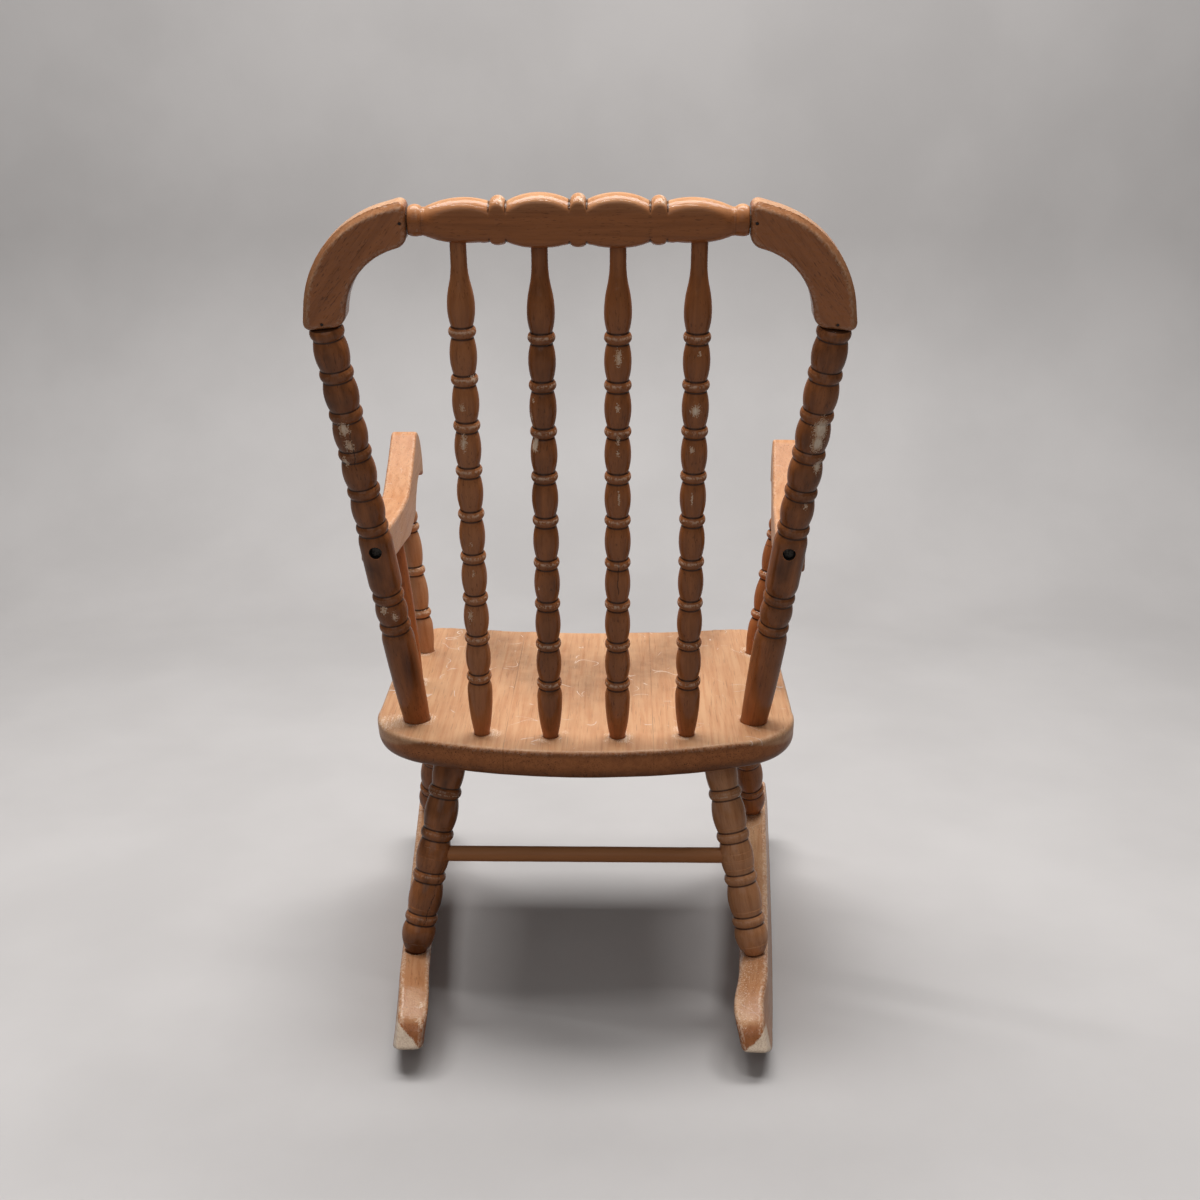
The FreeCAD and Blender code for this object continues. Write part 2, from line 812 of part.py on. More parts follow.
def ear_outline(side):
    """Outline of an ear in the back plane, with X outward and the crest's end on Y = 0, and its end corners.

    The ear's middle line falls outward from the crest's end, bends once and stands on the post. The end
    corners come as the two on the hollow side and the two on the outer side.
    """
    high = VECTOR(value("crest_half"), 0, 0)
    low = VECTOR(value("crest_half + ear_reach"), -value("ear_drop"), 0)
    fall = VECTOR(cosine("ear_fall"), -sine("ear_fall"), 0)
    stand = VECTOR(cosine("ear_stand"), -sine("ear_stand"), 0)
    fall_side = turned_left(fall)
    stand_side = turned_left(stand)
    knee = crossing(high, fall, low, stand)
    centre = knee - (fall_side + stand_side) * (value("ear_bend") / (1 + fall_side.dot(stand_side)))
    foot, top = post_ends(side)
    rise = top - foot
    level = VECTOR(rise.dot(BACK_UP), -abs(rise.x), 0)
    upright = VECTOR(0, 1, 0)
    half_turn = math.radians(value("ear_stand - ear_fall")) / 2
    paths = []
    for offset in (value("ear_width / 2"), -value("ear_width / 2")):
        radius = value("ear_bend") + offset
        paths.append([
            crossing(low + stand_side * offset, stand, low, level),
            centre + stand_side * radius,
            centre + fall_side * radius,
            crossing(high + fall_side * offset, fall, high, upright),
            radius * (1 - math.cos(half_turn)),
        ])
    outer_low, outer_bend, outer_turned, outer_high, outer_bulge = paths[0]
    inner_low, inner_bend, inner_turned, inner_high, inner_bulge = paths[1]
    corners = [
        (inner_turned, 0),
        (inner_bend, -inner_bulge),
        (inner_low, 0),
        (outer_low, 0),
        (outer_bend, 0),
        (outer_turned, outer_bulge),
        (outer_high, 0),
        (inner_high, 0),
    ]
    inner_ends = [(point.x, point.y) for point in (inner_low, inner_high)]
    outer_ends = [(point.x, point.y) for point in (outer_low, outer_high)]
    return [(point.x, point.y, bulge) for point, bulge in corners], inner_ends, outer_ends


def crest_ear(label, side):
    name = f"{label}_crest_ear"
    outline, inner_ends, outer_ends = ear_outline(side)
    body, board = sawn_board(name + "_board", outline, "ear_thickness")
    board = round_edges(body, board, standing_on(inner_ends), "ear_inner_corner")
    board = round_edges(body, board, standing_on(outer_ends), "ear_corner")
    round_edges(body, board, on_faces, "ear_round")
    body.Placement = frame_place(on_back(0, 0), VECTOR(side, 0, 0), BACK_UP)
    tools = []
    for joint, place in (("crest", crest_dowel_place(side)), ("post", post_dowel_place(side))):
        tools.append(dowel_bore(f"{name}_{joint}_hole", place))
        tools.append(pin_bore(f"{name}_{joint}_pin_hole", place))
    hand_in(name, cut(name, body, tools))


def ear_fastenings():
    """The hidden dowels of the ears and the fine pins that lock them."""
    dowels = []
    pins = []
    half = value("ear_dowel_length / 2 - glue_gap")
    for label, side in SIDES.items():
        for joint, place in (("crest", crest_dowel_place(side)), ("post", post_dowel_place(side))):
            name = f"{label}_{joint}_dowel"
            solid = rod(name, place, -half, half, "ear_dowel")
            dowels.append(cut(name + "_bored", solid, [pin_bore(name + "_pin_hole", place)]))
            length = "ear_pin_length - glue_gap"
            pins.append(rod(f"{label}_{joint}_pin", pin_place(place), 0, length, "ear_pin"))
    hand_in("ear_dowels", group("ear_dowels", dowels))
    hand_in("ear_pins", group("ear_pins", pins))


# Seat, arms and rockers


def seat(cutters):
    """The seat board with its rounded edge, its saddle and all its sockets."""
    half = value("seat_width / 2")
    corner_y = value("seat_rear - rear_bow")
    straight = half - value("rear_corner_width")
    side_y = corner_y - value("rear_corner_depth")
    front = -value("seat_front")
    front_x = half - value("front_corner")
    front_y = front + value("front_corner")
    outline = [
        (-front_x, front, "front_corner_bulge"),
        (front_x, front, 0),
        (half, front_y, "front_corner_bulge"),
        (half, side_y, 0),
        (straight, corner_y, "rear_corner_bulge"),
        (-straight, corner_y, "rear_bow"),
        (-half, side_y, "rear_corner_bulge"),
        (-half, front_y, 0),
    ]
    body, board = sawn_board("seat_board", outline, "seat_thickness")
    board = round_edges(body, board, on_upper_face, "seat_top_round")
    round_edges(body, board, on_lower_face, "seat_edge_round")
    middle = FreeCAD.Placement(VECTOR(0, 0, -value("seat_thickness / 2")), FreeCAD.Rotation())
    body.Placement = seat_place() * middle
    radius = value("saddle_radius")
    back_end = on_seat(0, value("saddle_start"), -radius)
    front_end = on_seat(0, value("seat_front"), value("saddle_dip") - radius)
    saddle = rod("saddle", axis_place(back_end, front_end), 0, "2 * seat_front", "2 * saddle_radius")
    hand_in("seat", cut("seat", body, [saddle] + cutters))


def arm_outline():
    """Side view of an arm: X forward from its rear end, Y up from its lower rear corner."""
    return [
        (0, 0, 0),
        ("arm_waist", "-arm_waist_drop", 0),
        ("arm_throat", "-arm_throat_drop", "arm_belly_bulge"),
        ("arm_notch", "arm_notch_rise", "-arm_throat_hollow"),
        ("arm_length - arm_nose", "arm_notch_rise - arm_nose_drop", "-arm_nose_hollow"),
        ("arm_length", "arm_notch_rise", "arm_nose_bulge"),
        (*ARM_HUMP, "arm_front_bulge"),
        (*ARM_WAIST, "-arm_back_hollow"),
        (0, "arm_rear_depth", "-arm_top_hollow"),
    ]


def screw_place(side):
    """Where an arm screw's axis meets the post's axis, with Z forward along the arm."""
    middle = post_at(side, value("screw_height"))
    return axis_place(middle, middle + arm_way(side))


def arm(label, side, mortises):
    name = f"{label}_arm"
    outline = arm_outline()
    body, board = sawn_board(name + "_board", outline, "arm_width")
    sharp = [(x, y) for x, y, bulge in outline if (x, y) not in (ARM_HUMP, ARM_WAIST)]
    board = round_edges(body, board, standing_on([ARM_WAIST]), "arm_waist_round")
    board = round_edges(body, board, standing_on([ARM_HUMP]), "arm_hump_round")
    board = round_edges(body, board, standing_on(sharp), "arm_corner")
    round_edges(body, board, on_faces, "arm_edge_round")
    body.Placement = frame_place(arm_start(side), arm_way(side), VECTOR(0, 0, 1))
    foot, top = post_ends(side)
    length = foot.distanceToPoint(top)
    cope = bore(name + "_cope", axis_place(foot, top), 0, length, "post_plain")
    end = value("screw_seat - post_plain / 2 + screw_length + glue_gap")
    pilot = bore(name + "_pilot", screw_place(side), 0, end, "screw_shank")
    hand_in(name, cut(name, body, mortises + [cope, pilot]))


def arm_screws():
    screws = []
    for label, side in SIDES.items():
        place = screw_place(side)
        seat_at = value("screw_seat - post_plain / 2")
        head = rod(f"{label}_screw_head", place, seat_at - value("screw_head_height"), seat_at, "screw_head")
        shank = rod(f"{label}_screw_shank", place, seat_at, seat_at + value("screw_length"), "screw_shank")
        screw = doc.addObject("Part::Fuse", f"{label}_screw")
        screw.Base = head
        screw.Tool = shank
        screws.append(screw)
    hand_in("arm_screws", group("arm_screws", screws))


def rocker_frame(side):
    """A rocker's own frame: X forward along the board, Y up its leaning face, origin on the floor."""
    grounded = []
    for end in ("rear", "front"):
        foot = leg_ends(side, end)[0]
        away = abs(foot.x) + value(f"{end}_rocker_outset") + foot.z * tangent("rocker_lean")
        grounded.append(VECTOR(away, foot.y, 0))
    run = grounded[1] - grounded[0]
    forward = VECTOR(side * run.x, run.y, 0).normalize()
    inward = VECTOR(side * forward.y, -side * forward.x, 0)
    up = inward * sine("rocker_lean") + VECTOR(0, 0, cosine("rocker_lean"))
    share = grounded[0].y / (grounded[0].y - grounded[1].y)
    middle_x = grounded[0].x + share * run.x
    return frame_place(VECTOR(side * middle_x, 0, 0), forward, up)


def rocker(label, side, mortises):
    """A board sawn to the rolling cylinder below, leaning with the legs, with two leg sockets."""
    name = f"{label}_rocker"
    place = rocker_frame(side)
    stretch = 1 / abs(place.Rotation.multVec(VECTOR(1, 0, 0)).y)
    slant = cosine("rocker_lean")
    below = -value("cutter_run")
    rear = value("rocker_length / 2")
    falling = value("rocker_length / 2 - rocker_tail")
    tip = (rear * stretch, rocker_top(-rear) / slant)
    shoulder_corner = (-falling * stretch, rocker_top(falling) / slant)
    tail = (-rear * stretch, (rocker_top(rear) - value("rocker_tail_fall")) / slant)
    sag = value("(rocker_length - rocker_tail) ^ 2 / (8 * rocker_top_radius)") / slant
    outline = [
        (tail[0], below, 0),
        (tip[0], below, 0),
        (*tip, 0),
        (*shoulder_corner, -sag),
        (*tail, "rocker_tail_bulge"),
    ]
    body, board = sawn_board(name + "_board", outline, "rocker_thickness")
    board = round_edges(body, board, standing_on([tip]), "rocker_tip_round")
    board = round_edges(body, board, standing_on([shoulder_corner]), "rocker_tail_round")
    board = round_edges(body, board, standing_on([tail]), "rocker_end_round")
    round_edges(body, board, lambda edge: on_faces(edge) and edge.BoundBox.YMin > below, "rocker_edge_round")
    body.Placement = place
    axle = VECTOR(-side * value("seat_width"), value("rocker_low_place"), value("rocker_radius"))
    roll = rod(
        name + "_roll", axis_place(axle, axle + VECTOR(side, 0, 0)), 0, "2 * seat_width", "2 * rocker_radius"
    )
    sawn = doc.addObject("Part::Common", name + "_sawn")
    sawn.Base = body
    sawn.Tool = roll
    hand_in(name, cut(name, sawn, mortises))


# Assembly

seat_cutters = []
crest_cutters = []
inner = value("spindle_inner")
outer = value("spindle_outer")
bow = value("spindle_bow")
lift = value("first_spindle_lift")
spindles = ((outer, bow, lift), (inner, 0, 0), (-inner, 0, 0), (-outer, bow, 0))
for number, (x, forward, lifted) in enumerate(spindles, start=1):
    socket, mortise = back_spindle(number, x, forward, lifted)
    seat_cutters.append(socket)
    crest_cutters.append(mortise)
for label, side in SIDES.items():
    seat_cutters.append(back_post(label, side))
    arm_mortises = []
    for maker in (front_arm_support, arm_spindle):
        socket, mortise = maker(label, side)
        seat_cutters.append(socket)
        arm_mortises.append(mortise)
    arm(label, side, arm_mortises)
    rocker_mortises = []
    for end in ("rear", "front"):
        socket, mortise = leg(label, side, end)
        seat_cutters.append(socket)
        rocker_mortises.append(mortise)
    rocker(label, side, rocker_mortises)
    crest_ear(label, side)
rear_stretcher()
crest_rail(crest_cutters)
ear_fastenings()
arm_screws()
seat(seat_cutters)
doc.recompute()

failed = [item.Name for item in doc.Objects if "Invalid" in item.State or "Error" in item.State]
broken = [item.Label for item in nodes if not (item.Shape.Solids and item.Shape.isValid())]
if failed or broken:
    raise RuntimeError(f"failed objects {failed}, broken shapes {broken}")
os.makedirs("parts", exist_ok=True)
for item in nodes:
    item.Shape.exportStep(f"parts/{item.Label}.step")
mass = sum(item.Shape.Volume for item in nodes)
centre = VECTOR()
for item in nodes:
    for solid in item.Shape.Solids:
        centre += solid.CenterOfMass * (solid.Volume / mass)
print(len(nodes), "sub-parts, centre of mass", centre)
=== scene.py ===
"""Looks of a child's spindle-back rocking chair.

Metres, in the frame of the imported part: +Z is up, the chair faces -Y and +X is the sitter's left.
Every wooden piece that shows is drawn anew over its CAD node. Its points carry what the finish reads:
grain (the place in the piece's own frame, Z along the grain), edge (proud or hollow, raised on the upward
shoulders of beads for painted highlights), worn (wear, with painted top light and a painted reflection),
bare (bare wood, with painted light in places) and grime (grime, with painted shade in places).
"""

from dataclasses import dataclass
from typing import Callable

import bpy
import numpy as np
from mathutils import Matrix, Vector
from mathutils.kdtree import KDTree


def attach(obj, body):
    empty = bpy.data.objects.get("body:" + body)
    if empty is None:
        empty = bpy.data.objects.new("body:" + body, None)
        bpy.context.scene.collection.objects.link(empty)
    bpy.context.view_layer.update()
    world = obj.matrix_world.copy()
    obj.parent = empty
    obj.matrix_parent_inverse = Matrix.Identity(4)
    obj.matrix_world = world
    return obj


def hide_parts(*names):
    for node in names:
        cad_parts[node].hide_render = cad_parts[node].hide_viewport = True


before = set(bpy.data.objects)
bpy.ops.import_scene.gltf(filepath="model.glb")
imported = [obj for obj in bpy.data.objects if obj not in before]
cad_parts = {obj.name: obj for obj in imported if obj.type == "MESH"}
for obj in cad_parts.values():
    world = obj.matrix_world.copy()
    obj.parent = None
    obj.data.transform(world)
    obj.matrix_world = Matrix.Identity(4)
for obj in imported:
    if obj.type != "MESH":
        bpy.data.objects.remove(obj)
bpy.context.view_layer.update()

MM = 0.001
REAR = Vector((0, 1, 0))
UP = Vector((0, 0, 1))
TO_RIGHT = Vector((-1, 0, 0))
SIDES = {"left": 1, "right": -1}
BACK_LEAN = np.radians(11.3)
BACK_OUT = Vector((0, np.cos(BACK_LEAN), -np.sin(BACK_LEAN)))

# Turned pieces, with how far each runs on below the place from which its heights are measured. That is
# the tenon of a piece that stands. The stretcher starts inside that place, which is the leg's axis.
FOOT_TENON = {f"back_spindle_{number}": 15 * MM for number in range(1, 5)}
for kind, tenon in (("back_post", 17 * MM), ("front_arm_support", 9 * MM), ("arm_spindle", 13 * MM)):
    FOOT_TENON.update({f"{label}_{kind}": tenon for label in SIDES})
FOOT_TENON.update({f"{end}_{label}_leg": 17 * MM for end in ("rear", "front") for label in SIDES})
FOOT_TENON.update({"rear_stretcher": -5.5 * MM, "crest_rail": 0.0})
LYING = ("rear_stretcher", "crest_rail")
SEAT_FEET = [name for name in FOOT_TENON if "spindle" in name or "post" in name or "support" in name]

# Grain lines of the sawn pieces.
SAWN_GRAIN = {
    "seat": ((0, 0.14, 0.262), (0, -0.13, 0.274)),
    "left_arm": ((0.167, 0.136, 0.43), (0.174, -0.12, 0.45)),
    "right_arm": ((-0.167, 0.134, 0.43), (-0.186, -0.12, 0.45)),
    "left_crest_ear": ((0.186, 0.197, 0.606), (0.121, 0.212, 0.685)),
    "right_crest_ear": ((-0.186, 0.197, 0.606), (-0.121, 0.212, 0.685)),
    "left_rocker": ((0.142, 0.232, 0.04), (0.181, -0.232, 0.06)),
    "right_rocker": ((-0.142, 0.232, 0.04), (-0.181, -0.232, 0.06)),
}

# Scuffs on the turned pieces: height over the foot in mm, angle from the rear in degrees, half height
# and half width in mm, and how bare the wood is there.
SCUFFS = {
    "back_spindle_1": (
        (294, -10, 4, 2.5, 0.7), (266, -13, 8, 3, 0.8), (117, -23, 6, 2.5, 0.7),
        (155, 3, 3, 1.5, 0.6), (181, -2, 3, 1.5, 0.5), (316, 49, 4, 3, 0.6),
    ),
    "back_spindle_2": (
        (264, -45, 6, 3, 1.3), (285, -60, 5, 2, 0.7), (299, -45, 3, 2, 0.6), (142, -37, 3, 1.5, 0.6),
    ),
    "back_spindle_3": (
        (333, 3, 7, 3, 0.8), (294, 0, 4, 2, 0.7), (268, 2, 5, 2, 0.7), (258, 1, 3, 2, 0.6),
        (220, 6, 8, 1.2, 0.6),
    ),
    "back_spindle_4": (
        (336, 12, 3, 2, 0.6), (292, -1, 5, 4, 0.9), (261, -13, 3, 2.5, 0.7), (220, -7, 6, 1, 0.8),
    ),
    "left_back_post": (
        (284, -10, 6, 5, 0.8), (270, -2, 6, 4, 0.8), (256, -32, 5, 3, 0.8), (120, -20, 5, 4, 0.7),
        (113, 18, 5, 3, 0.7),
    ),
    "right_back_post": (
        (285, 18, 9, 6, 1.1), (273, 14, 8, 5, 1.0), (253, 38, 6, 4, 1.0), (218, 20, 3, 2, 0.7),
    ),
}

# Cracks along the turned pieces: heights and angles of their two ends.
CRACKS = {
    "left_back_post": ((285, 12, 246, 3),),
    "rear_left_leg": ((98, 60, 20, 10),),
    "back_spindle_3": ((168, 2, 136, 4),),
}

# Dark stains on the turned pieces: height, angle, half height, half width and strength.
STAINS = {
    "left_back_post": (
        (60, 33, 26, 9, 0.7), (90, -5, 22, 5, 0.35), (343, -8, 5, 6, 0.5), (200, 25, 18, 4, 0.35),
    ),
    "right_back_post": ((48, -20, 18, 7, 0.35), (95, 30, 20, 5, 0.3)),
    "rear_left_leg": ((6, 0, 20, 20, 0.75), (48, 15, 34, 14, 0.45)),
    "back_spindle_2": ((90, 0, 50, 9, 0.4),),
}

# How much darker some turned pieces are than the rest; below 0, paler instead, as painted light.
TONES = {
    "left_back_post": 0.34, "right_back_post": 0.32, "rear_left_leg": 0.34, "rear_right_leg": -0.45,
    "front_left_leg": 0.35, "left_front_arm_support": -0.65,
    "back_spindle_1": -0.1, "back_spindle_2": 0.27, "back_spindle_3": 0.1, "back_spindle_4": 0.12,
}


# Noise

HASH_FACTORS = (374761393, 668265263, 2147483647)
HASH_SEED_FACTOR = 974711
HASH_SEED_START = 101
HASH_MIX = 1274126177
HASH_SHIFTS = (13, 16)
HASH_MASK = 0xFFFFFF

# Layers of rough noise: how much finer each is than the first, and its weight.
NOISE_LAYERS = ((1, 1), (2.1, 0.5), (4.3, 0.25))
NOISE_REACH = 1.5


def hashed(cell, seed):
    """One pseudo-random number from 0 to 1 for each whole-number cell."""
    mixed = np.uint32(seed * HASH_SEED_FACTOR + HASH_SEED_START)
    for axis, factor in enumerate(HASH_FACTORS):
        mixed = mixed + cell[:, axis].astype(np.int64).astype(np.uint32) * np.uint32(factor)
    first_shift, second_shift = HASH_SHIFTS
    mixed = (mixed ^ (mixed >> np.uint32(first_shift))) * np.uint32(HASH_MIX)
    mixed = mixed ^ (mixed >> np.uint32(second_shift))
    return (mixed & np.uint32(HASH_MASK)).astype(float) / HASH_MASK


def noise(points, size, seed):
    """Smooth noise from -1 to 1 whose blotches measure about size, one length or one for each axis."""
    scaled = points / np.asarray(size, float)
    cell = np.floor(scaled)
    share = ramp(scaled - cell, 0, 1)
    total = np.zeros(len(points))
    for corner in np.ndindex(2, 2, 2):
        weight = np.prod(np.where(corner, share, 1 - share), axis=1)
        total += weight * hashed(cell + np.array(corner), seed)
    return 2 * total - 1


def rough_noise(points, size, seed):
    """Noise with finer noise on top of it."""
    size = np.asarray(size, float)
    total = 0
    for layer, (finer, weight) in enumerate(NOISE_LAYERS):
        total = total + weight * noise(points, size / finer, seed + layer)
    return total / NOISE_REACH


def ramp(values, low, high):
    """0 below low, 1 above high and a smooth step between them."""
    share = np.clip((values - low) / (high - low), 0, 1)
    return share * share * (3 - 2 * share)


def fall(values, low, high):
    """1 below low, 0 above high and a smooth step between them."""
    return 1 - ramp(values, low, high)


def bell(values, middle, reach):
    """1 at the middle, falling off on both sides."""
    return np.exp(-(((values - middle) / reach) ** 2))


# Meshes

NEARLY_ALONG = 0.9


def piece_matrix(start, way, near=None):
    """A local frame at start: Z along the way, X as near as can be to the given direction, or to the rear."""
    z_axis = Vector(way).normalized()
    if near is None:
        near = REAR if abs(z_axis.dot(REAR)) < NEARLY_ALONG else UP
    x_axis = (near - z_axis * near.dot(z_axis)).normalized()
    y_axis = z_axis.cross(x_axis)
    matrix = Matrix((x_axis, y_axis, z_axis)).transposed().to_4x4()
    matrix.translation = Vector(start)
    return matrix


def to_local(matrix, points):
    """World points in a piece's own frame."""
    inverse = np.array(matrix.inverted())
    return points @ inverse[:3, :3].T + inverse[:3, 3]


def to_world(matrix, points):
    """A piece's own points in the world."""
    whole = np.array(matrix)
    return points @ whole[:3, :3].T + whole[:3, 3]


def mesh_points(mesh):
    points = np.zeros(len(mesh.vertices) * 3)
    mesh.vertices.foreach_get("co", points)
    return points.reshape(-1, 3)


def node_points(node):
    return mesh_points(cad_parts[node].data)


def move_points(mesh, points):
    mesh.vertices.foreach_set("co", points.astype(np.float32).ravel())
    mesh.update()


def set_marks(mesh, grain, marks):
    """Stores the grain coordinates and the wear on a mesh's points."""
    layer = mesh.attributes.new("grain", "FLOAT_VECTOR", "POINT")
    layer.data.foreach_set("vector", np.asarray(grain, np.float32).ravel())
    for name, values in marks.items():
        layer = mesh.attributes.new(name, "FLOAT", "POINT")
        layer.data.foreach_set("value", np.asarray(values, np.float32))


def add_object(name, data):
    made = bpy.data.objects.new(name, data)
    bpy.context.scene.collection.objects.link(made)
    return made


def add_piece(node, mesh, material):
    """A piece that stands for a CAD node."""
    mesh.polygons.foreach_set("use_smooth", [True] * len(mesh.polygons))
    mesh.materials.clear()
    mesh.materials.append(material)
    piece = add_object(node + "_wood", mesh)
    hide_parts(node)
    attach(piece, "root")
    return piece


def ring_points(heights, angles, radii):
    """Points on rings around the Z axis."""
    return np.stack([np.cos(angles) * radii, np.sin(angles) * radii, heights], axis=-1)


def ring_mesh(name, rings):
    """A closed skin over rings of points, with a cap at each end. rings has shape (ring, segment, 3)."""
    count, segments, _ = rings.shape
    points = rings.reshape(-1, 3)
    ends = [rings[0].mean(axis=0), rings[-1].mean(axis=0)]
    ring = np.arange(count - 1)[:, None] * segments
    here = np.arange(segments)[None, :]
    following = (here + 1) % segments
    low_pair = [ring + here, ring + following]
    high_pair = [ring + following + segments, ring + here + segments]
    quads = np.stack(low_pair + high_pair, axis=-1).reshape(-1, 4).tolist()
    low_cap = [(len(points), int(b), int(a)) for a, b in zip(here[0], following[0])]
    top = (count - 1) * segments
    high_cap = [(len(points) + 1, int(top + a), int(top + b)) for a, b in zip(here[0], following[0])]
    mesh = bpy.data.meshes.new(name)
    mesh.from_pydata(np.vstack([points, ends]).tolist(), [], quads + low_cap + high_cap)
    mesh.update()
    return mesh


def with_cap_points(values):
    """Marks of a ring mesh, with the two cap points added."""
    return np.concatenate([values.ravel(), [values[0].mean(), values[-1].mean()]])


# Places read from the frame

END_DEPTHS = [depth * MM for depth in (4, 2, 1, 0.5, 0.2, 0.1, 0.05)]


def end_middle(points, way, depth):
    """Middle of the round end that lies farthest along a way, from the points within depth of it."""
    reach = points @ np.array(way)
    end = points[reach > reach.max() - depth]
    return (end.min(axis=0) + end.max(axis=0)) / 2


def long_axis(points, toward):
    """Middle of a long round piece's first end, and the way from there to its other end."""
    way = np.linalg.svd(points - points.mean(axis=0), full_matrices=False)[2][0]
    way = way * np.sign(way @ np.array(toward))
    for depth in END_DEPTHS:
        start = end_middle(points, -way, depth)
        way = end_middle(points, way, depth) - start
        way = way / np.linalg.norm(way)
    return start, way


def turned_axis(node):
    """Where a turned piece's heights start, and the way along it."""
    end, way = long_axis(node_points(node), TO_RIGHT if node in LYING else UP)
    return end + FOOT_TENON[node] * way, way


def screw_axis(side):
    """Middle of the rear end of an arm screw's head, and the way forward from it."""
    points = node_points("arm_screws")
    return long_axis(points[side * points[:, 0] > 0], -REAR)


def pin_ends(side):
    """Middles of the rear ends of an ear's upper and lower pins."""
    points = node_points("ear_pins")
    halfway = (points[:, 2].min() + points[:, 2].max()) / 2
    beside = side * points[:, 0] > 0
    above = points[:, 2] > halfway
    return [end_middle(points[beside & half], BACK_OUT, END_DEPTHS[-1]) for half in (above, ~above)]


TURNED_AXES = {node: turned_axis(node) for node in FOOT_TENON}


# Materials

# Noise patterns of the wood: stretch along the grain, cells per metre, detail, roughness and distortion.
PATTERNS = {
    "bands": (0.05, 230, 5, 0.6, 0.3),
    "wide_bands": (0.05, 48, 3, 0.5, 0),
    "fibres": (0.05, 800, 3, 0.55, 0),
    "pits": (0.04, 1000, 2, 0.5, 0),
    "dashes": (0.2, 900, 2, 0.5, 0),
    "clouds": (1, 24, 4, 0.55, 0),
    "crumbs": (1, 420, 4, 0.65, 0),
    "chips": (1, 800, 3, 0.6, 0),
    "lumps": (1, 210, 3, 0.6, 0),
    "scratches": (1, 17, 1.5, 0.55, 0),
    "cross_scratches": (1, 23, 1, 0.55, 0),
    "scratched_places": (1, 33, 3, 0.55, 0),
}
LINE_CORE = 0.4


class Shade:
    """A material's node tree, with short ways to add nodes to it."""

    def __init__(self, name):
        self.material = bpy.data.materials.new(name)
        self.material.use_nodes = True
        self.tree = self.material.node_tree
        self.shader = self.tree.nodes["Principled BSDF"]
        self.made = {}

    def add(self, kind, **settings):
        node = self.tree.nodes.new(kind)
        for name, setting in settings.items():
            setattr(node, name, setting)
        return node

    def link(self, source, target):
        self.tree.links.new(source, target)

    def feed(self, target, source):
        """A socket's value: a link from another socket, or a constant."""
        if isinstance(source, bpy.types.NodeSocket):
            self.link(source, target)
        else:
            target.default_value = source

    def set(self, **values):
        """Inputs of the shader, with underscores for the spaces in their names."""
        for name, value in values.items():
            self.feed(self.shader.inputs[name.replace("_", " ")], value)

    def once(self, key, make):
        """A socket that is made when it is first asked for."""
        if key not in self.made:
            self.made[key] = make()
        return self.made[key]

    def stretched_grain(self, stretch):
        mapping = self.add("ShaderNodeMapping")
        mapping.inputs["Scale"].default_value = (1, 1, stretch)
        place = self.add("ShaderNodeAttribute", attribute_name="grain")
        self.link(place.outputs["Vector"], mapping.inputs["Vector"])
        return mapping.outputs["Vector"]

    def grain(self, stretch=1):
        """The piece's own coordinates, stretched along the grain."""
        return self.once(("grain", stretch), lambda: self.stretched_grain(stretch))

    def place(self):
        """Object coordinates, for meshes without grain."""
        return self.add("ShaderNodeTexCoord").outputs["Object"]

    def mark(self, name):
        """One of the wear marks on the points."""
        return self.once(name, lambda: self.add("ShaderNodeAttribute", attribute_name=name).outputs["Fac"])

    def pattern(self, name):
        """One of the wood's noise patterns."""
        stretch, *settings = PATTERNS[name]
        return self.once(("pattern", name), lambda: self.noise(self.grain(stretch), *settings))

    def noise(self, vector, scale, detail=3, roughness=0.55, distortion=0):
        node = self.add("ShaderNodeTexNoise")
        self.link(vector, node.inputs["Vector"])
        node.inputs["Scale"].default_value = scale
        node.inputs["Detail"].default_value = detail
        node.inputs["Roughness"].default_value = roughness
        node.inputs["Distortion"].default_value = distortion
        return node.outputs["Fac"]

    def math(self, operation, first, second=0.0, clamp=False):
        node = self.add("ShaderNodeMath", operation=operation, use_clamp=clamp)
        self.feed(node.inputs[0], first)
        self.feed(node.inputs[1], second)
        return node.outputs["Value"]

    def times(self, first, second):
        return self.math("MULTIPLY", first, second)

    def step(self, source, low, high, to_low=0.0, to_high=1.0):
        """A smooth step of a value from low to high."""
        node = self.add("ShaderNodeMapRange", interpolation_type="SMOOTHSTEP")
        self.feed(node.inputs["Value"], source)
        node.inputs["From Min"].default_value = low
        node.inputs["From Max"].default_value = high
        node.inputs["To Min"].default_value = to_low
        node.inputs["To Max"].default_value = to_high
        return node.outputs["Result"]

    def line(self, source, middle, half_width):
        """1 where a value is close to the middle, 0 where it is more than half_width off."""
        off = self.math("ABSOLUTE", self.math("SUBTRACT", source, middle))
        return self.step(off, half_width * LINE_CORE, half_width, to_low=1.0, to_high=0.0)

    def mix(self, share, first, second):
        node = self.add("ShaderNodeMix", data_type="RGBA")
        self.feed(node.inputs["Factor"], share)
        colours = [item for item in node.inputs if item.type == "RGBA"]
        self.feed(colours[0], first)
        self.feed(colours[1], second)
        return next(item for item in node.outputs if item.type == "RGBA")

    def bump(self, height, strength, distance, normal=None):
        node = self.add("ShaderNodeBump")
        node.inputs["Strength"].default_value = strength
        node.inputs["Distance"].default_value = distance
        self.link(height, node.inputs["Height"])
        if normal is not None:
            self.link(normal, node.inputs["Normal"])
        return node.outputs["Normal"]


def srgb(red, green, blue):
    """A colour from its 0 to 255 display values."""
    values = np.array((red, green, blue)) / 255
    linear = np.where(values <= 0.04045, values / 12.92, ((values + 0.055) / 1.055) ** 2.4)
    return (*linear.tolist(), 1.0)


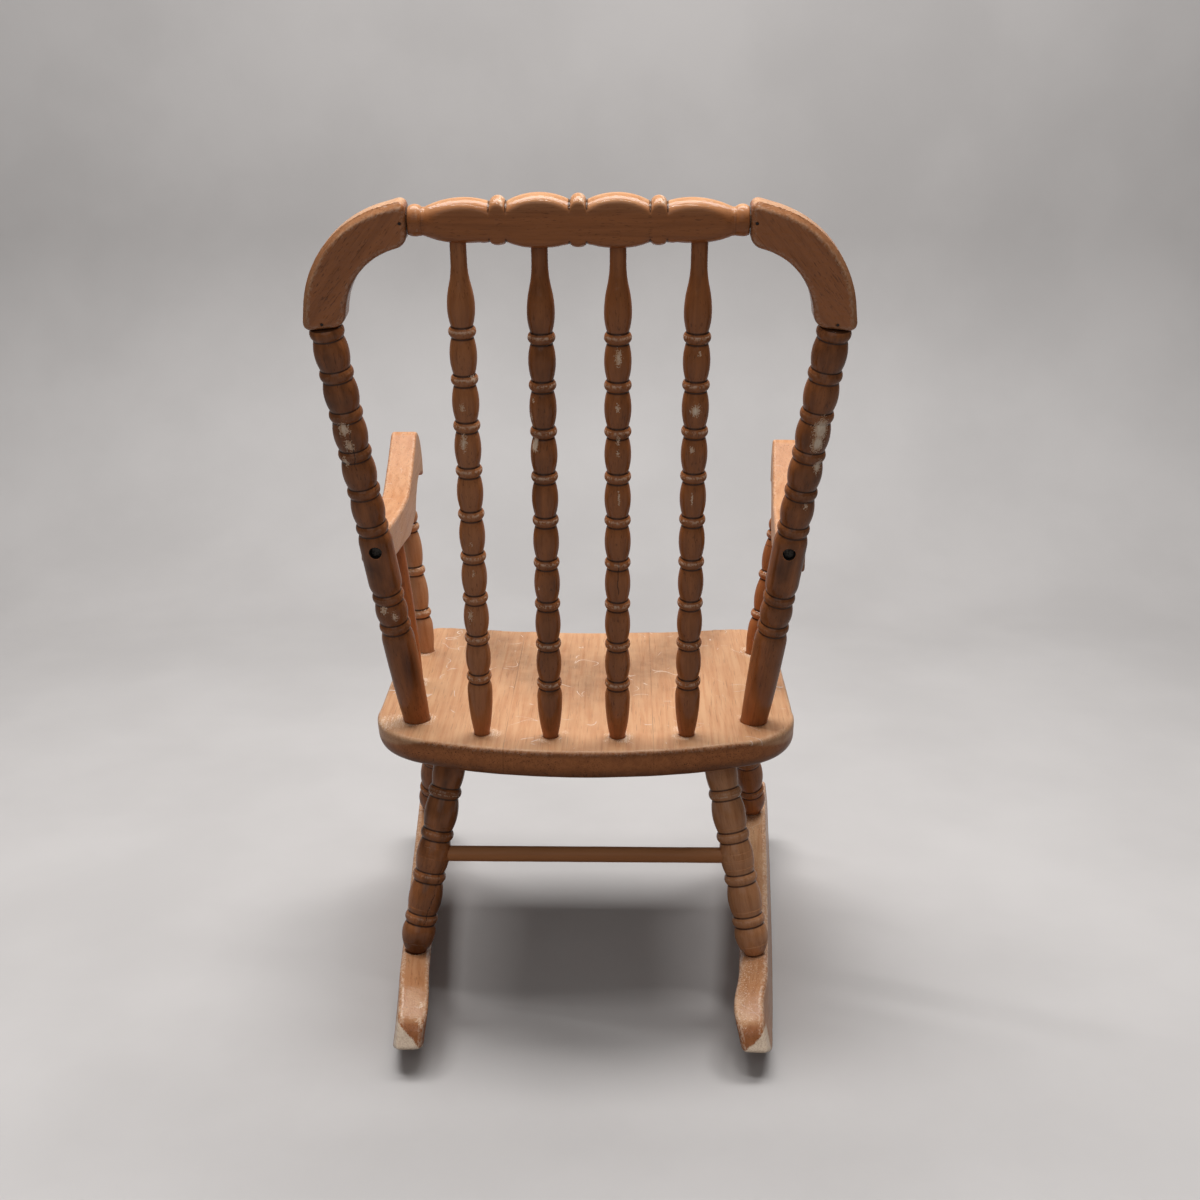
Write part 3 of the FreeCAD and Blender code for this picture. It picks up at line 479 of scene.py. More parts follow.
STAIN = srgb(174, 107, 62)
STREAK = srgb(132, 78, 43)
DOWEL_STAIN = srgb(172, 112, 68)
DOWEL_STREAK = srgb(146, 92, 54)
WORN = srgb(205, 159, 120)
# Pale rub on proud edges: worn wood, and painted highlights on the upward shoulders of beads.
RUB_AND_HIGHLIGHT = srgb(228, 198, 172)
BARE = srgb(226, 198, 172)
RAW = srgb(252, 231, 206)
DUST = srgb(214, 196, 182)
GROOVE = srgb(50, 28, 17)

# A thick coat gives all the shine. Under a thin one the wood keeps a little of its own.
THICK_COAT = 0.2
THIN_COAT_SHINE = 0.15
COAT_ROUGHNESS = 0.12

WIDE_BAND_SHARE = 0.8
SEAM_HALF = 0.5 * MM
SCRATCH_HALF = 0.004
SCRATCH_LEVEL = 0.5
CROSS_SCRATCH_LEVEL = 0.53
CHIP_WEIGHT = 1.2
BARE_WEIGHT = 0.42
FLAKE_COLOUR = 0.9
FLAKE_ROUGHNESS = 0.3

# Depths of the finish's relief.
LUMP_DEPTH = 0.8 * MM
CRUMB_DEPTH = 0.4 * MM
FINE_DEPTH = 0.3 * MM
BAND_BUMP = 0.12
PIT_BUMP = -0.3
FLAKE_BUMP = -0.4


@dataclass
class Wood:
    """One kind of finish: shares of its marks, its roughness, its coat and how uneven its varnish is."""

    streaks: float
    pores: float
    roughness: float
    coat: float
    rubbed: float = 0.6
    specks: float = 0.0
    scratches: float = 0.0
    seams: tuple = ()
    varnish: float = 0.4
    stain: tuple = STAIN
    streak: tuple = STREAK


def stained(shade, wood):
    """Streaked stain: paler from wear and painted light, darker from grime and painted shade."""
    bands = shade.pattern("bands")
    wide = shade.step(shade.pattern("wide_bands"), 0.44, 0.72, to_high=wood.streaks * WIDE_BAND_SHARE)
    colour = shade.mix(shade.step(bands, 0.38, 0.70, to_high=wood.streaks), wood.stain, wood.streak)
    colour = shade.mix(wide, colour, wood.streak)
    uneven = shade.step(shade.pattern("clouds"), 0.28, 0.62, to_low=0.78)
    pale = shade.mix(shade.step(bands, 0.36, 0.70, to_high=0.45), WORN, wood.stain)
    colour = shade.mix(shade.times(shade.mark("worn_and_lit"), uneven), colour, pale)
    # Darker where grimy, and where shade is painted: the seat's rim and the ears' inner bevels.
    return shade.mix(shade.mark("grime_and_shade"), colour, GROOVE)


def with_edges(shade, wood, colour):
    """Pale crumbs on proud edges: wear and painted highlights. Dark grooves where it is hollow."""
    edge = shade.mark("edge")
    rub = shade.times(shade.step(edge, 0.35, 1.0), shade.step(shade.pattern("crumbs"), 0.42, 0.60))
    colour = shade.mix(shade.times(rub, wood.rubbed), colour, RUB_AND_HIGHLIGHT)
    return shade.mix(shade.step(edge, -0.3, -0.9, to_high=0.85), colour, GROOVE)


def with_dashes(shade, wood, colour):
    """Short dark dashes along the grain, in patches, left out where wear and painted light make it paler."""
    dashes = shade.step(shade.pattern("dashes"), 0.60, 0.68, to_high=wood.specks)
    dashes = shade.times(dashes, shade.step(shade.pattern("clouds"), 0.38, 0.56, to_low=0.25))
    return shade.mix(shade.times(dashes, shade.math("SUBTRACT", 1.0, shade.mark("worn_and_lit"))), colour, GROOVE)


def with_seams(shade, wood, colour):
    """Faint lines where boards are glued side by side."""
    for seam in wood.seams:
        across = shade.add("ShaderNodeSeparateXYZ")
        shade.link(shade.grain(), across.inputs[0])
        faint = shade.step(shade.pattern("clouds"), 0.35, 0.6, to_low=0.1, to_high=0.4)
        joint = shade.times(shade.line(across.outputs["Y"], seam, SEAM_HALF), faint)
        colour = shade.mix(joint, colour, GROOVE)
    return colour


def with_scratches(shade, wood, colour):
    """Thin pale scratches, in places, where wear and painted light make the surface paler."""
    first = shade.line(shade.pattern("scratches"), SCRATCH_LEVEL, SCRATCH_HALF)
    second = shade.line(shade.pattern("cross_scratches"), CROSS_SCRATCH_LEVEL, SCRATCH_HALF)
    places = shade.step(shade.pattern("scratched_places"), 0.54, 0.60)
    lines = shade.times(shade.math("MAXIMUM", first, second), places)
    return shade.mix(shade.times(shade.times(lines, shade.mark("worn_and_lit")), wood.scratches), colour, DUST)


def flaked(shade):
    """1 where the finish has flaked off."""
    bare_and_lit = shade.mark("bare_and_lit")
    chips = shade.times(shade.pattern("chips"), CHIP_WEIGHT)
    flakes = shade.step(shade.math("ADD", chips, shade.times(bare_and_lit, BARE_WEIGHT)), 0.86, 0.91)
    return shade.times(flakes, shade.step(bare_and_lit, 0.05, 0.35))


def fresh_wood(shade):
    """The wood under the finish, palest where it is barest."""
    fibres = shade.step(shade.pattern("fibres"), 0.35, 0.7)
    raw = shade.step(shade.mark("bare_and_lit"), 0.9, 1.3)
    return shade.mix(raw, shade.mix(fibres, BARE, WORN), shade.mix(fibres, RAW, BARE))


def wood_normal(shade, wood, pits, flakes):
    """The wood's relief: crumbs, bands, pits and flakes."""
    normal = shade.bump(shade.pattern("crumbs"), wood.varnish, CRUMB_DEPTH)
    for height, strength in ((shade.pattern("bands"), BAND_BUMP), (pits, PIT_BUMP), (flakes, FLAKE_BUMP)):
        normal = shade.bump(height, strength, FINE_DEPTH, normal)
    return normal


def stained_wood(name, **finish):
    """Varnished wood: streaked stain with pores, paler from wear and painted light, raw where it is bare."""
    shade = Shade(name)
    wood = Wood(**finish)
    pits = shade.step(shade.pattern("pits"), 0.61, 0.70, to_high=wood.pores)
    flakes = flaked(shade)
    colour = with_edges(shade, wood, stained(shade, wood))
    colour = shade.mix(pits, colour, GROOVE)
    for add_marks in (with_dashes, with_seams, with_scratches):
        colour = add_marks(shade, wood, colour)
    colour = shade.mix(shade.times(flakes, FLAKE_COLOUR), colour, fresh_wood(shade))
    gloss = shade.step(shade.pattern("clouds"), 0.3, 0.7, wood.roughness - 0.06, wood.roughness + 0.08)
    shade.set(
        Base_Color=colour,
        Roughness=shade.math("ADD", gloss, shade.times(flakes, FLAKE_ROUGHNESS), clamp=True),
        Specular_IOR_Level=THIN_COAT_SHINE if wood.coat < THICK_COAT else 0.0,
        Coat_Weight=wood.coat,
        Coat_Roughness=COAT_ROUGHNESS,
        Coat_Normal=shade.bump(shade.pattern("lumps"), wood.varnish, LUMP_DEPTH),
        Normal=wood_normal(shade, wood, pits, flakes),
    )
    return shade.material


def plain_finish(name, colour, dark, roughness, metallic=0.0):
    """A small fitting's finish: one colour, mottled."""
    shade = Shade(name)
    mottle = shade.step(shade.noise(shade.place(), scale=700), 0.35, 0.7)
    shade.set(Base_Color=shade.mix(mottle, colour, dark), Roughness=roughness, Metallic=metallic)
    return shade.material


turned_wood = stained_wood(
    "turned_wood_finish", streaks=0.45, pores=0.14, roughness=0.36, coat=0.42, rubbed=0.75, specks=0.4
)
ear_wood = stained_wood(
    "ear_wood_finish", streaks=0.4, pores=0.35, roughness=0.42, coat=0.65,
    rubbed=0.2, specks=0.5, scratches=0.3, varnish=0.9,
)
arm_wood = stained_wood(
    "arm_wood_finish", streaks=0.4, pores=0.35, roughness=0.5, coat=0.06,
    rubbed=0.3, specks=0.7, scratches=0.4, varnish=0.3,
)
seat_wood = stained_wood(
    "seat_wood_finish", streaks=0.5, pores=0.28, roughness=0.46, coat=0.1,
    rubbed=0.2, specks=0.9, scratches=0.9, seams=(-66 * MM, 58 * MM),
)
rocker_wood = stained_wood(
    "rocker_wood_finish", streaks=0.45, pores=0.3, roughness=0.38, coat=0.5,
    rubbed=0.6, specks=0.5, scratches=0.4, varnish=0.8,
)
dowel_wood = stained_wood(
    "dowel_wood_finish", streaks=0.3, pores=0.08, roughness=0.46, coat=0.08,
    stain=DOWEL_STAIN, streak=DOWEL_STREAK,
)
# The inside of every bore, the pin holes too, is painted near black: painted shade.
bore_shade = plain_finish("bore_shade_finish", srgb(34, 22, 16), srgb(18, 12, 9), roughness=0.8)


# Turned pieces

SEGMENTS = 56
CRACKED_SEGMENTS = 132
RING_STEP = 1.2 * MM
LEVEL_STEP = 0.02 * MM
SMALL_RING = 12
TRUE_RING = 0.55
RELIEF_REACH = 2.6 * MM
RELIEF_DEPTH = 0.6 * MM
EDGE_LIMIT = 1.5

CREST_HALF = 11.3 * MM
CREST_EDGE = 24
CREST_HOLLOW = 0.6
VALLEY_REACH = 9 * MM
VALLEY_FILL = 0.5

CRACK_HALF = 0.45 * MM
CRACK_DEPTH = 0.7 * MM
CRACK_TAPER = 0.15
# How a crack wanders: two waves, with their reach and length.
CRACK_WAVES = ((0.5 * MM, 4.1 * MM), (0.3 * MM, 1.7 * MM))

SCUFF_STRENGTH = 1.5
SCUFF_DEPTH = 0.25 * MM
WAVER = 0.12 * MM
WAVER_CELLS = (0.012, 0.012, 0.03)
STREAK_CELLS = (0.006, 0.006, 0.05)
SMUDGE_CELLS = (0.007, 0.007, 0.016)
UNEVEN_GRIME = 0.9
MOST_GRIME = 3
POST_FOOT = (40 * MM, 110 * MM)
POST_FOOT_CLEAN = 0.5
STRETCHER_WORN_AND_LIT = 0.3

# Noise seeds of the turned pieces, and how far apart their grain lies in the noise.
SEED_STEP = 10
STREAK_SEED = 5
SMUDGE_SEED = 7
TURNED_GRAIN_STEP = np.array((0.13, 0.29, 0.47))


def cad_profile(node, matrix):
    """Heights and radii of a turned CAD node, from its own full outer rings."""
    local = to_local(matrix, node_points(node))
    radius = np.hypot(local[:, 0], local[:, 1])
    level = np.round(local[:, 2] / LEVEL_STEP).astype(int)
    profile = []
    for key in np.unique(level):
        members = level == key
        if members.sum() >= SMALL_RING:
            profile.append((local[members, 2].mean(), radius[members].max()))
    heights, radii = np.array(profile).T
    outer = radii > TRUE_RING * np.median(radii)
    return heights[outer], radii[outer]


def fine_heights(heights):
    """The CAD heights with more between them where they are far apart."""
    result = []
    for low, high in zip(heights[:-1], heights[1:]):
        parts = max(1, int(np.ceil((high - low) / RING_STEP)))
        result.extend(np.linspace(low, high, parts, endpoint=False))
    result.append(heights[-1])
    return np.array(result)


def relief(heights, radii):
    """How far each ring stands over (1) or under (-1) the rings around it."""
    weight = bell(heights[:, None], heights[None, :], RELIEF_REACH) * np.gradient(heights)[None, :]
    mean = (weight * radii[None, :]).sum(axis=1) / weight.sum(axis=1)
    return np.clip((radii - mean) / RELIEF_DEPTH, -EDGE_LIMIT, EDGE_LIMIT)


def rub_and_highlight_share(heights, radii):
    """How much pale rub each ring gets: wear, and a painted highlight most on the shoulder that faces up."""
    slope = -np.gradient(radii, heights)
    facing_up = slope / np.hypot(slope, 1)
    return np.where(relief(heights, radii) > 0, np.clip(0.8 + 1.6 * facing_up, 0.2, 2), 1)


def turned(angles, middle):
    """Angles measured from the middle, from -pi to pi."""
    return (angles - middle + np.pi) % (2 * np.pi) - np.pi


def blotch(heights, angles, radii, spot):
    """1 in the middle of a spot on a turned surface, falling to 0 around it."""
    height, angle, half_height, half_width = spot
    up = (heights - height * MM) / (half_height * MM)
    around = turned(angles, np.radians(angle)) * radii / (half_width * MM)
    return np.exp(-(up**2 + around**2))


def crack_share(heights, angles, radii, crack):
    """1 along the middle of a crack, 0 beside it."""
    first_height, first_angle, last_height, last_angle = crack
    share = np.clip((heights - first_height * MM) / ((last_height - first_height) * MM), 0, 1)
    middle = np.radians(first_angle + (last_angle - first_angle) * share)
    wander = sum(reach * np.sin(heights / length) for reach, length in CRACK_WAVES)
    off = np.abs(turned(angles, middle) * radii - wander)
    taper = ramp(share, 0, CRACK_TAPER) * ramp(1 - share, 0, CRACK_TAPER)
    return np.clip(1 - off / CRACK_HALF, 0, 1) * taper


def surface_noise(heights, angles, radii, cells, seed):
    """Rough noise on a turned surface."""
    points = ring_points(heights, angles, radii).reshape(-1, 3)
    return rough_noise(points, cells, seed).reshape(radii.shape)


def turned_marks(node, number, surface):
    """Bare wood, grime and cracks on a turned surface, which is given by its heights, angles and radii."""
    heights, _, radii = surface
    bare_and_lit = np.zeros_like(radii)
    for *spot, strength in SCUFFS.get(node, ()):
        bare_and_lit = np.maximum(bare_and_lit, SCUFF_STRENGTH * strength * blotch(*surface, spot))
    streaks = surface_noise(*surface, STREAK_CELLS, SEED_STEP * number + STREAK_SEED)
    smudges = surface_noise(*surface, SMUDGE_CELLS, SEED_STEP * number + SMUDGE_SEED)
    clean = POST_FOOT_CLEAN * fall(heights, *POST_FOOT) if node.endswith("post") else 0
    uneven = np.clip(1 + UNEVEN_GRIME * (streaks + smudges), 0, MOST_GRIME)
    grime_and_shade = max(TONES.get(node, 0), 0) * uneven * (1 - clean)
    for *spot, strength in STAINS.get(node, ()):
        grime_and_shade = np.maximum(grime_and_shade, strength * blotch(*surface, spot))
    crack = np.zeros_like(radii)
    for ends in CRACKS.get(node, ()):
        crack = np.maximum(crack, crack_share(*surface, ends))
    return bare_and_lit, np.maximum(grime_and_shade, ramp(crack, 0.1, 0.7)), crack


def shallow_valleys(heights, radii):
    """How much wider each ring gets where the crest is worn: part of the way to its neighbours."""
    near = np.abs(heights[:, None] - heights[None, :]) < VALLEY_REACH
    around = np.where(near, radii[None, :], 0).max(axis=1)
    return VALLEY_FILL * (around - radii)


def planed_crest(line, profile, angles, rings, edge):
    """The crest's rings and edges, with flat faces at front and rear and shallower valleys underneath."""
    wider = (shallow_valleys(line, profile) / profile)[:, None] * ramp(np.sin(angles), 0.2, 0.8)
    planed = rings.copy()
    planed[..., :2] *= 1 + wider[..., None]
    out = planed[..., 0].copy()
    planed[..., 0] = out / (1 + np.abs(out / CREST_HALF) ** CREST_EDGE) ** (1 / CREST_EDGE)
    round_part = fall(np.abs(out) / CREST_HALF, 0.9, 1.02)
    return planed, edge * round_part * np.where(edge < 0, CREST_HOLLOW, 1.0)


def turned_piece(node, number, material, slot):
    """A turning over its CAD node's profile, with its wear, cracks and waver."""
    matrix = piece_matrix(*TURNED_AXES[node], BACK_OUT if node == "crest_rail" else None)
    cad_heights, cad_radii = cad_profile(node, matrix)
    line = fine_heights(cad_heights)
    profile = np.interp(line, cad_heights, cad_radii)
    segments = CRACKED_SEGMENTS if node in CRACKS else SEGMENTS
    heights, angles = np.meshgrid(line, np.arange(segments) * 2 * np.pi / segments, indexing="ij")
    radii = np.repeat(profile[:, None], segments, axis=1)
    edge = np.repeat((relief(line, profile) * rub_and_highlight_share(line, profile))[:, None], segments, axis=1)
    bare_and_lit, grime_and_shade, crack = turned_marks(node, number, (heights, angles, radii))
    waver = WAVER * surface_noise(heights, angles, radii, WAVER_CELLS, SEED_STEP * number)
    dents = CRACK_DEPTH * crack + SCUFF_DEPTH * ramp(bare_and_lit, 0.3, 1.0)
    rings = ring_points(heights, angles, radii + waver - dents)
    if node == "crest_rail":
        rings, edge = planed_crest(line, profile, angles, rings, edge)
    mesh = ring_mesh(node + "_wood", to_world(matrix, rings))
    # Paler upper sides are wear and painted top light; a tone below 0 paints the whole piece paler as light.
    rise = np.array(matrix)[2]
    up = np.clip(rise[0] * np.cos(angles) + rise[1] * np.sin(angles), 0, 1)
    worn_and_lit = np.maximum(up**2 * (STRETCHER_WORN_AND_LIT if node == "rear_stretcher" else 1.0), -TONES.get(node, 0))
    marks = {"edge": edge, "worn_and_lit": worn_and_lit, "bare_and_lit": bare_and_lit, "grime_and_shade": grime_and_shade}
    local = np.vstack([rings.reshape(-1, 3), rings[0].mean(axis=0), rings[-1].mean(axis=0)])
    grain = local + TURNED_GRAIN_STEP * (number + 1)
    set_marks(mesh, grain, {name: with_cap_points(values) for name, values in marks.items()})
    return add_piece(node, mesh, material)


pieces = {}
for number, node in enumerate(TURNED_AXES):
    finish = (dowel_wood, "dowel_wood") if node == "rear_stretcher" else (turned_wood, "turned_wood")
    pieces[node] = turned_piece(node, number, *finish)


# Screw bores in the back posts

# Heights from the rear end of the screw's head, and radii: a bore with a slightly flared mouth.
BORE_PROFILE = ((-14.5 * MM, 5.3 * MM), (-5.7 * MM, 5.3 * MM), (-4.9 * MM, 4.75 * MM), (3 * MM, 4.75 * MM))
BORE_SEGMENTS = 40


def cut_bore(node, start, way, profile):
    """Opens a bore from the rear of a piece."""
    angles = np.arange(BORE_SEGMENTS) * 2 * np.pi / BORE_SEGMENTS
    heights, radii = np.array(profile).T[:, :, None]
    rings = ring_points(*np.broadcast_arrays(heights, angles, radii))
    tool_mesh = ring_mesh(node + "_bore", to_world(piece_matrix(start, way), rings))
    tool_mesh.materials.append(bore_shade)
    tool = add_object(node + "_bore", tool_mesh)
    piece = pieces[node]
    opening = piece.modifiers.new("bore", "BOOLEAN")
    opening.operation = "DIFFERENCE"
    opening.object = tool
    opening.solver = "EXACT"
    opening.material_mode = "TRANSFER"
    graph = bpy.context.evaluated_depsgraph_get()
    bored = bpy.data.meshes.new_from_object(piece.evaluated_get(graph))
    piece.modifiers.clear()
    piece.data = bored
    bpy.data.objects.remove(tool)


for label, side in SIDES.items():
    cut_bore(label + "_back_post", *screw_axis(side), BORE_PROFILE)


# Sawn pieces

SEAT_TOP = 262.5 * MM
SEAT_ROW = 128 * MM
SEAT_SLOPE = -np.tan(np.radians(3))
SEAT_CELL = 12 * MM
SEAT_SEED = 61
SEAT_CORNER = (0.125, 0.178)
SEAT_FLAT = (0.9, 0.97)
DUST_WAVER = 6 * MM
FOOT_DUST = (9 * MM, 19 * MM)
FOOT_DUST_BARE = 0.85
LEFT_DUST = (0.166, 0.1)
LEFT_DUST_RADII = (8 * MM, 22 * MM)
LEFT_DUST_BARE = 0.8
# How far the pale top reaches down the rim, farther at the corners: wear, and painted top light.
RIM_WORN_AND_LIT = 1.2 * MM
RIM_BLUR = (-0.4 * MM, 0.5 * MM)
CORNER_WORN_AND_LIT = {"left": 10 * MM, "right": 8 * MM}
CORNER_WAVER = 1.5 * MM
CORNER_BLUR = 4 * MM
# Painted shade on the seat's rim: a band just under the top edge, and more towards the bottom.
BROW = (3.2 * MM, 2 * MM)
BROW_SHADE = 0.42
LOW_RIM = (11 * MM, 24 * MM)
LOW_RIM_SHADE = 0.55
PATCHY_SHADE = 0.4
EASED_BEHIND = (0.06, 0.10)
EASED_BESIDE = (0.09, 0.13)
EASED_BELOW = (5 * MM, 14 * MM)
EASED_SHARE = {"left": 1.0, "right": 0.4}
EASED_ROUNDS = 60

ROCKER_HALF = 12.5 * MM
TAIL_LENGTH = 20 * MM
TAIL_END = 4 * MM
TAIL_THINNING = 0.22
TAIL_LIFT = 4 * MM
TAIL_UNDER = 14 * MM
TAIL_SLANT = 0.35
SLANT_LENGTH = 45 * MM
TWIST_LENGTH = 72 * MM
TAIL_TWIST = {"left": 0.05, "right": 0.14}
TAIL_ROUNDS = 14
SCUFF_LENGTH = 75 * MM
# Raw wood at the tail's end: its height at the inner side, and how much it gains toward the outer side.
TAIL_RAW = {"left": (3 * MM, 0.86), "right": (1 * MM, 0.76)}
RAW_WAVER = 3 * MM
RAW_CELL = 12 * MM
RAW_SEED = 77
RAW_BLUR = 1.5 * MM
RAW_BARE = 1.5
SCUFF_BARE = 0.85
SCUFF_CELL = 11 * MM
SCUFF_SEED = 91
FLOOR_WORN = (0.5 * MM, 3 * MM)
FLOOR_BARE = 0.9
BAND_EDGE = (1 * MM, 5 * MM)
INNER_BAND = {"left": 0.0, "right": 0.5}
# Rocker tops are paler from wear and painted light, the right one more; the outer sides are paler.
ROCKER_TOP = (0.4, 0.85)
TOP_WORN_AND_LIT = {"left": 0.8, "right": 1.0}
TOP_BARE_AND_LIT = {"left": 0.0, "right": 0.32}
TOP_PATCHES = 0.4
TOP_CELL = 30 * MM
TOP_SEED = 57
OUTER_PALE = 0.6

SAWN_TOP = (0.45, 0.9)
# Arm tops are paler from wear and painted light; the inner side has a painted reflection.
ARM_TOP_WORN_AND_LIT = 0.7
ARM_INNER_SHEEN = 0.35
# Ear marks: paler line, outer bevel and top from wear and painted light; painted shade on the inner bevel.
EAR_LINE = (0.4 * MM, 0.4 * MM)
EAR_LINE_WORN_AND_LIT = 0.8
EAR_OUTER = (0.5 * MM, 1.2 * MM)
EAR_OUTER_WORN_AND_LIT = 0.4
EAR_INNER = (0.8 * MM, 1.8 * MM)
EAR_INNER_SHADE = 0.3
BEVEL_WIDTH = 4 * MM
BEVEL_SLOPE = 1.15
EAR_SIDE = (4.2 * MM, 6 * MM)
EAR_SIDE_OUTWARD = 0.6
DOWEL_REACH = 13 * MM

PROUD_ROUNDS = 8
UNEVEN = 0.2 * MM
UNEVEN_CELL = 30 * MM
SAWN_SEED = 300
SAWN_GRAIN_STEP = np.array((0, 0, 0.61))


def even_mesh(node, spacing):
    """The CAD node's surface with evenly spaced points."""
    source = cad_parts[node]
    copy = add_object(node + "_even", source.data.copy())
    remesh = copy.modifiers.new("even", "REMESH")
    remesh.mode = "VOXEL"
    remesh.voxel_size = spacing
    wrap = copy.modifiers.new("true", "SHRINKWRAP")
    wrap.target = source
    wrap.wrap_method = "NEAREST_SURFACEPOINT"
    graph = bpy.context.evaluated_depsgraph_get()
    mesh = bpy.data.meshes.new_from_object(copy.evaluated_get(graph))
    bpy.data.objects.remove(copy)
    mesh.name = node + "_wood"
    return mesh


def mesh_arrays(mesh):
    """Points, normals and edges of a mesh."""
    normals = np.zeros(len(mesh.vertices) * 3)
    mesh.vertices.foreach_get("normal", normals)
    edges = np.zeros(len(mesh.edges) * 2, np.int64)
    mesh.edges.foreach_get("vertices", edges)
    return mesh_points(mesh), normals.reshape(-1, 3), edges.reshape(-1, 2)


def smoothed(values, edges, rounds):
    """Values averaged with their neighbours, round after round."""
    count = len(values)
    degree = np.bincount(edges.ravel(), minlength=count).astype(float)
    result = values.copy()
    for _ in range(rounds):
        total = np.zeros_like(result)
        for axis in range(result.shape[1]):
            total[:, axis] = np.bincount(edges[:, 0], result[edges[:, 1], axis], count)
            total[:, axis] += np.bincount(edges[:, 1], result[edges[:, 0], axis], count)
        result = 0.5 * result + 0.5 * total / np.maximum(degree, 1)[:, None]
    return result


def side_of(points):
    """Name and sign of the side of the chair on which a piece lies."""
    return next((label, side) for label, side in SIDES.items() if side * points[:, 0].mean() > 0)


def by_side(points, values):
    """A value for each point: the left one for points at the sitter's left, the right one for the others."""
    return np.where(points[:, 0] > 0, values["left"], values["right"])


def faces_up(normals, least):
    """Where a surface faces up, by at least this share."""
    return normals[:, 2] > least


def below_seat_top(points):
    """How far points lie below the seat's top, which slopes."""
    return SEAT_TOP + SEAT_SLOPE * (points[:, 1] - SEAT_ROW) - points[:, 2]


def dust(points, place, radii, patchy):
    """1 around a place on the seat, with an irregular rim."""
    away = np.hypot(points[:, 0] - place[0], points[:, 1] - place[1])
    return fall(away - DUST_WAVER * patchy, *radii)


# Each wear function gives bare, worn and grime for a piece's points, normals and places in its own frame.
# These marks also carry painted light: paler tops and lit faces, a painted reflection, and painted shade.


def seat_wear(points, normals, local):
    """Dusty feet of the turned pieces; top paler from wear and painted light; painted shade on the rim."""
    bare_and_lit = np.zeros(len(points))
    patchy = rough_noise(points, SEAT_CELL, SEAT_SEED)
    for name in SEAT_FEET:
        foot, _ = TURNED_AXES[name]
        rim = dust(points, foot, FOOT_DUST, patchy) * ramp(patchy, -0.7, 0.3)
        bare_and_lit = np.maximum(bare_and_lit, FOOT_DUST_BARE * rim * faces_up(normals, least=0.5))
    spot = dust(points, LEFT_DUST, LEFT_DUST_RADII, patchy)
    bare_and_lit = np.maximum(bare_and_lit, LEFT_DUST_BARE * spot * faces_up(normals, least=0.2))
    below = below_seat_top(points)
    corner = ramp(np.abs(points[:, 0]), *SEAT_CORNER)
    reach = RIM_WORN_AND_LIT + corner * (by_side(points, CORNER_WORN_AND_LIT) + CORNER_WAVER * patchy)
    low, high = RIM_BLUR
    worn_and_lit = ramp(reach - below, low - CORNER_BLUR * corner, high) * faces_up(normals, least=-0.2)
    worn_and_lit = np.maximum(worn_and_lit, ramp(normals[:, 2], *SEAT_FLAT))
    # Painted shade on the rim: a band under the top edge, darker towards the bottom, patchy.
    brow = (1 - corner) * bell(below, *BROW)
    grime_and_shade = (BROW_SHADE * brow + LOW_RIM_SHADE * ramp(below, *LOW_RIM)) * (1 + PATCHY_SHADE * patchy)
    return bare_and_lit, worn_and_lit, grime_and_shade


def raw_tail(points, local, label, side):
    """1 where a rocker's tail end is worn down to raw wood: low, and higher at the outer side."""
    end = local[:, 2] < TAIL_END
    outward = side * (points[:, 0] - points[end, 0].mean())
    height = local[:, 0] - local[end, 0].min()
    low, slope = TAIL_RAW[label]
    limit = low + slope * (outward + ROCKER_HALF) + RAW_WAVER * rough_noise(points, RAW_CELL, RAW_SEED)
    return ramp(limit - height, -RAW_BLUR, RAW_BLUR) * fall(local[:, 2], TAIL_LENGTH / 2, TAIL_LENGTH)


def rocker_wear(points, normals, local):
    """Raw tail ends, tail scuffs, wear underneath, top paler from wear and painted light, pale outer side."""
    label, side = side_of(points)
    patches = ramp(rough_noise(points, SCUFF_CELL, SCUFF_SEED), 0.15, 0.5)
    scuffs = patches * fall(local[:, 2], TAIL_LENGTH, SCUFF_LENGTH) * faces_up(normals, least=0.1)
    floor = fall(points[:, 2], *FLOOR_WORN)
    across = side * (local[:, 1] - local[:, 1].mean())
    band = INNER_BAND[label] * ramp(across, *BAND_EDGE) * faces_up(normals, least=0.4)
    # The top is paler from wear and painted light, the right rocker's the most.
    top = ramp(normals[:, 2], *ROCKER_TOP)
    raw = raw_tail(points, local, label, side)
    bare_and_lit = [RAW_BARE * raw, SCUFF_BARE * scuffs, FLOOR_BARE * floor, band, TOP_BARE_AND_LIT[label] * top]
    faded = 1 - TOP_PATCHES * ramp(rough_noise(points, TOP_CELL, TOP_SEED), -0.2, 0.5)
    # The outer side is paler.
    outer = OUTER_PALE * ramp(side * normals[:, 0], 0.7, 0.9)
    return np.maximum.reduce(bare_and_lit), np.maximum(TOP_WORN_AND_LIT[label] * top * faded, outer), np.zeros(len(points))


def arm_wear(points, normals, local):
    """Paler on top from wear and painted light; the inner side painted pale as a reflection."""
    _, side = side_of(points)
    # The inner side gets a painted reflection: pale, and partly shown as bare wood.
    inner = ramp(-side * normals[:, 0], 0.75, 0.95)
    worn_and_lit = np.maximum(ARM_TOP_WORN_AND_LIT * ramp(normals[:, 2], *SAWN_TOP), inner)
    return ARM_INNER_SHEEN * inner, worn_and_lit, np.zeros(len(points))


def ear_depth(points):
    """How far an ear's points lie in front of its rear face."""
    back = points @ np.array(BACK_OUT)
    return back.max() - back


def ear_outward(points, normals):
    """How much an ear's surface faces its outer, upper side."""
    _, side = side_of(points)
    return normals[:, 0] * side + normals[:, 2]


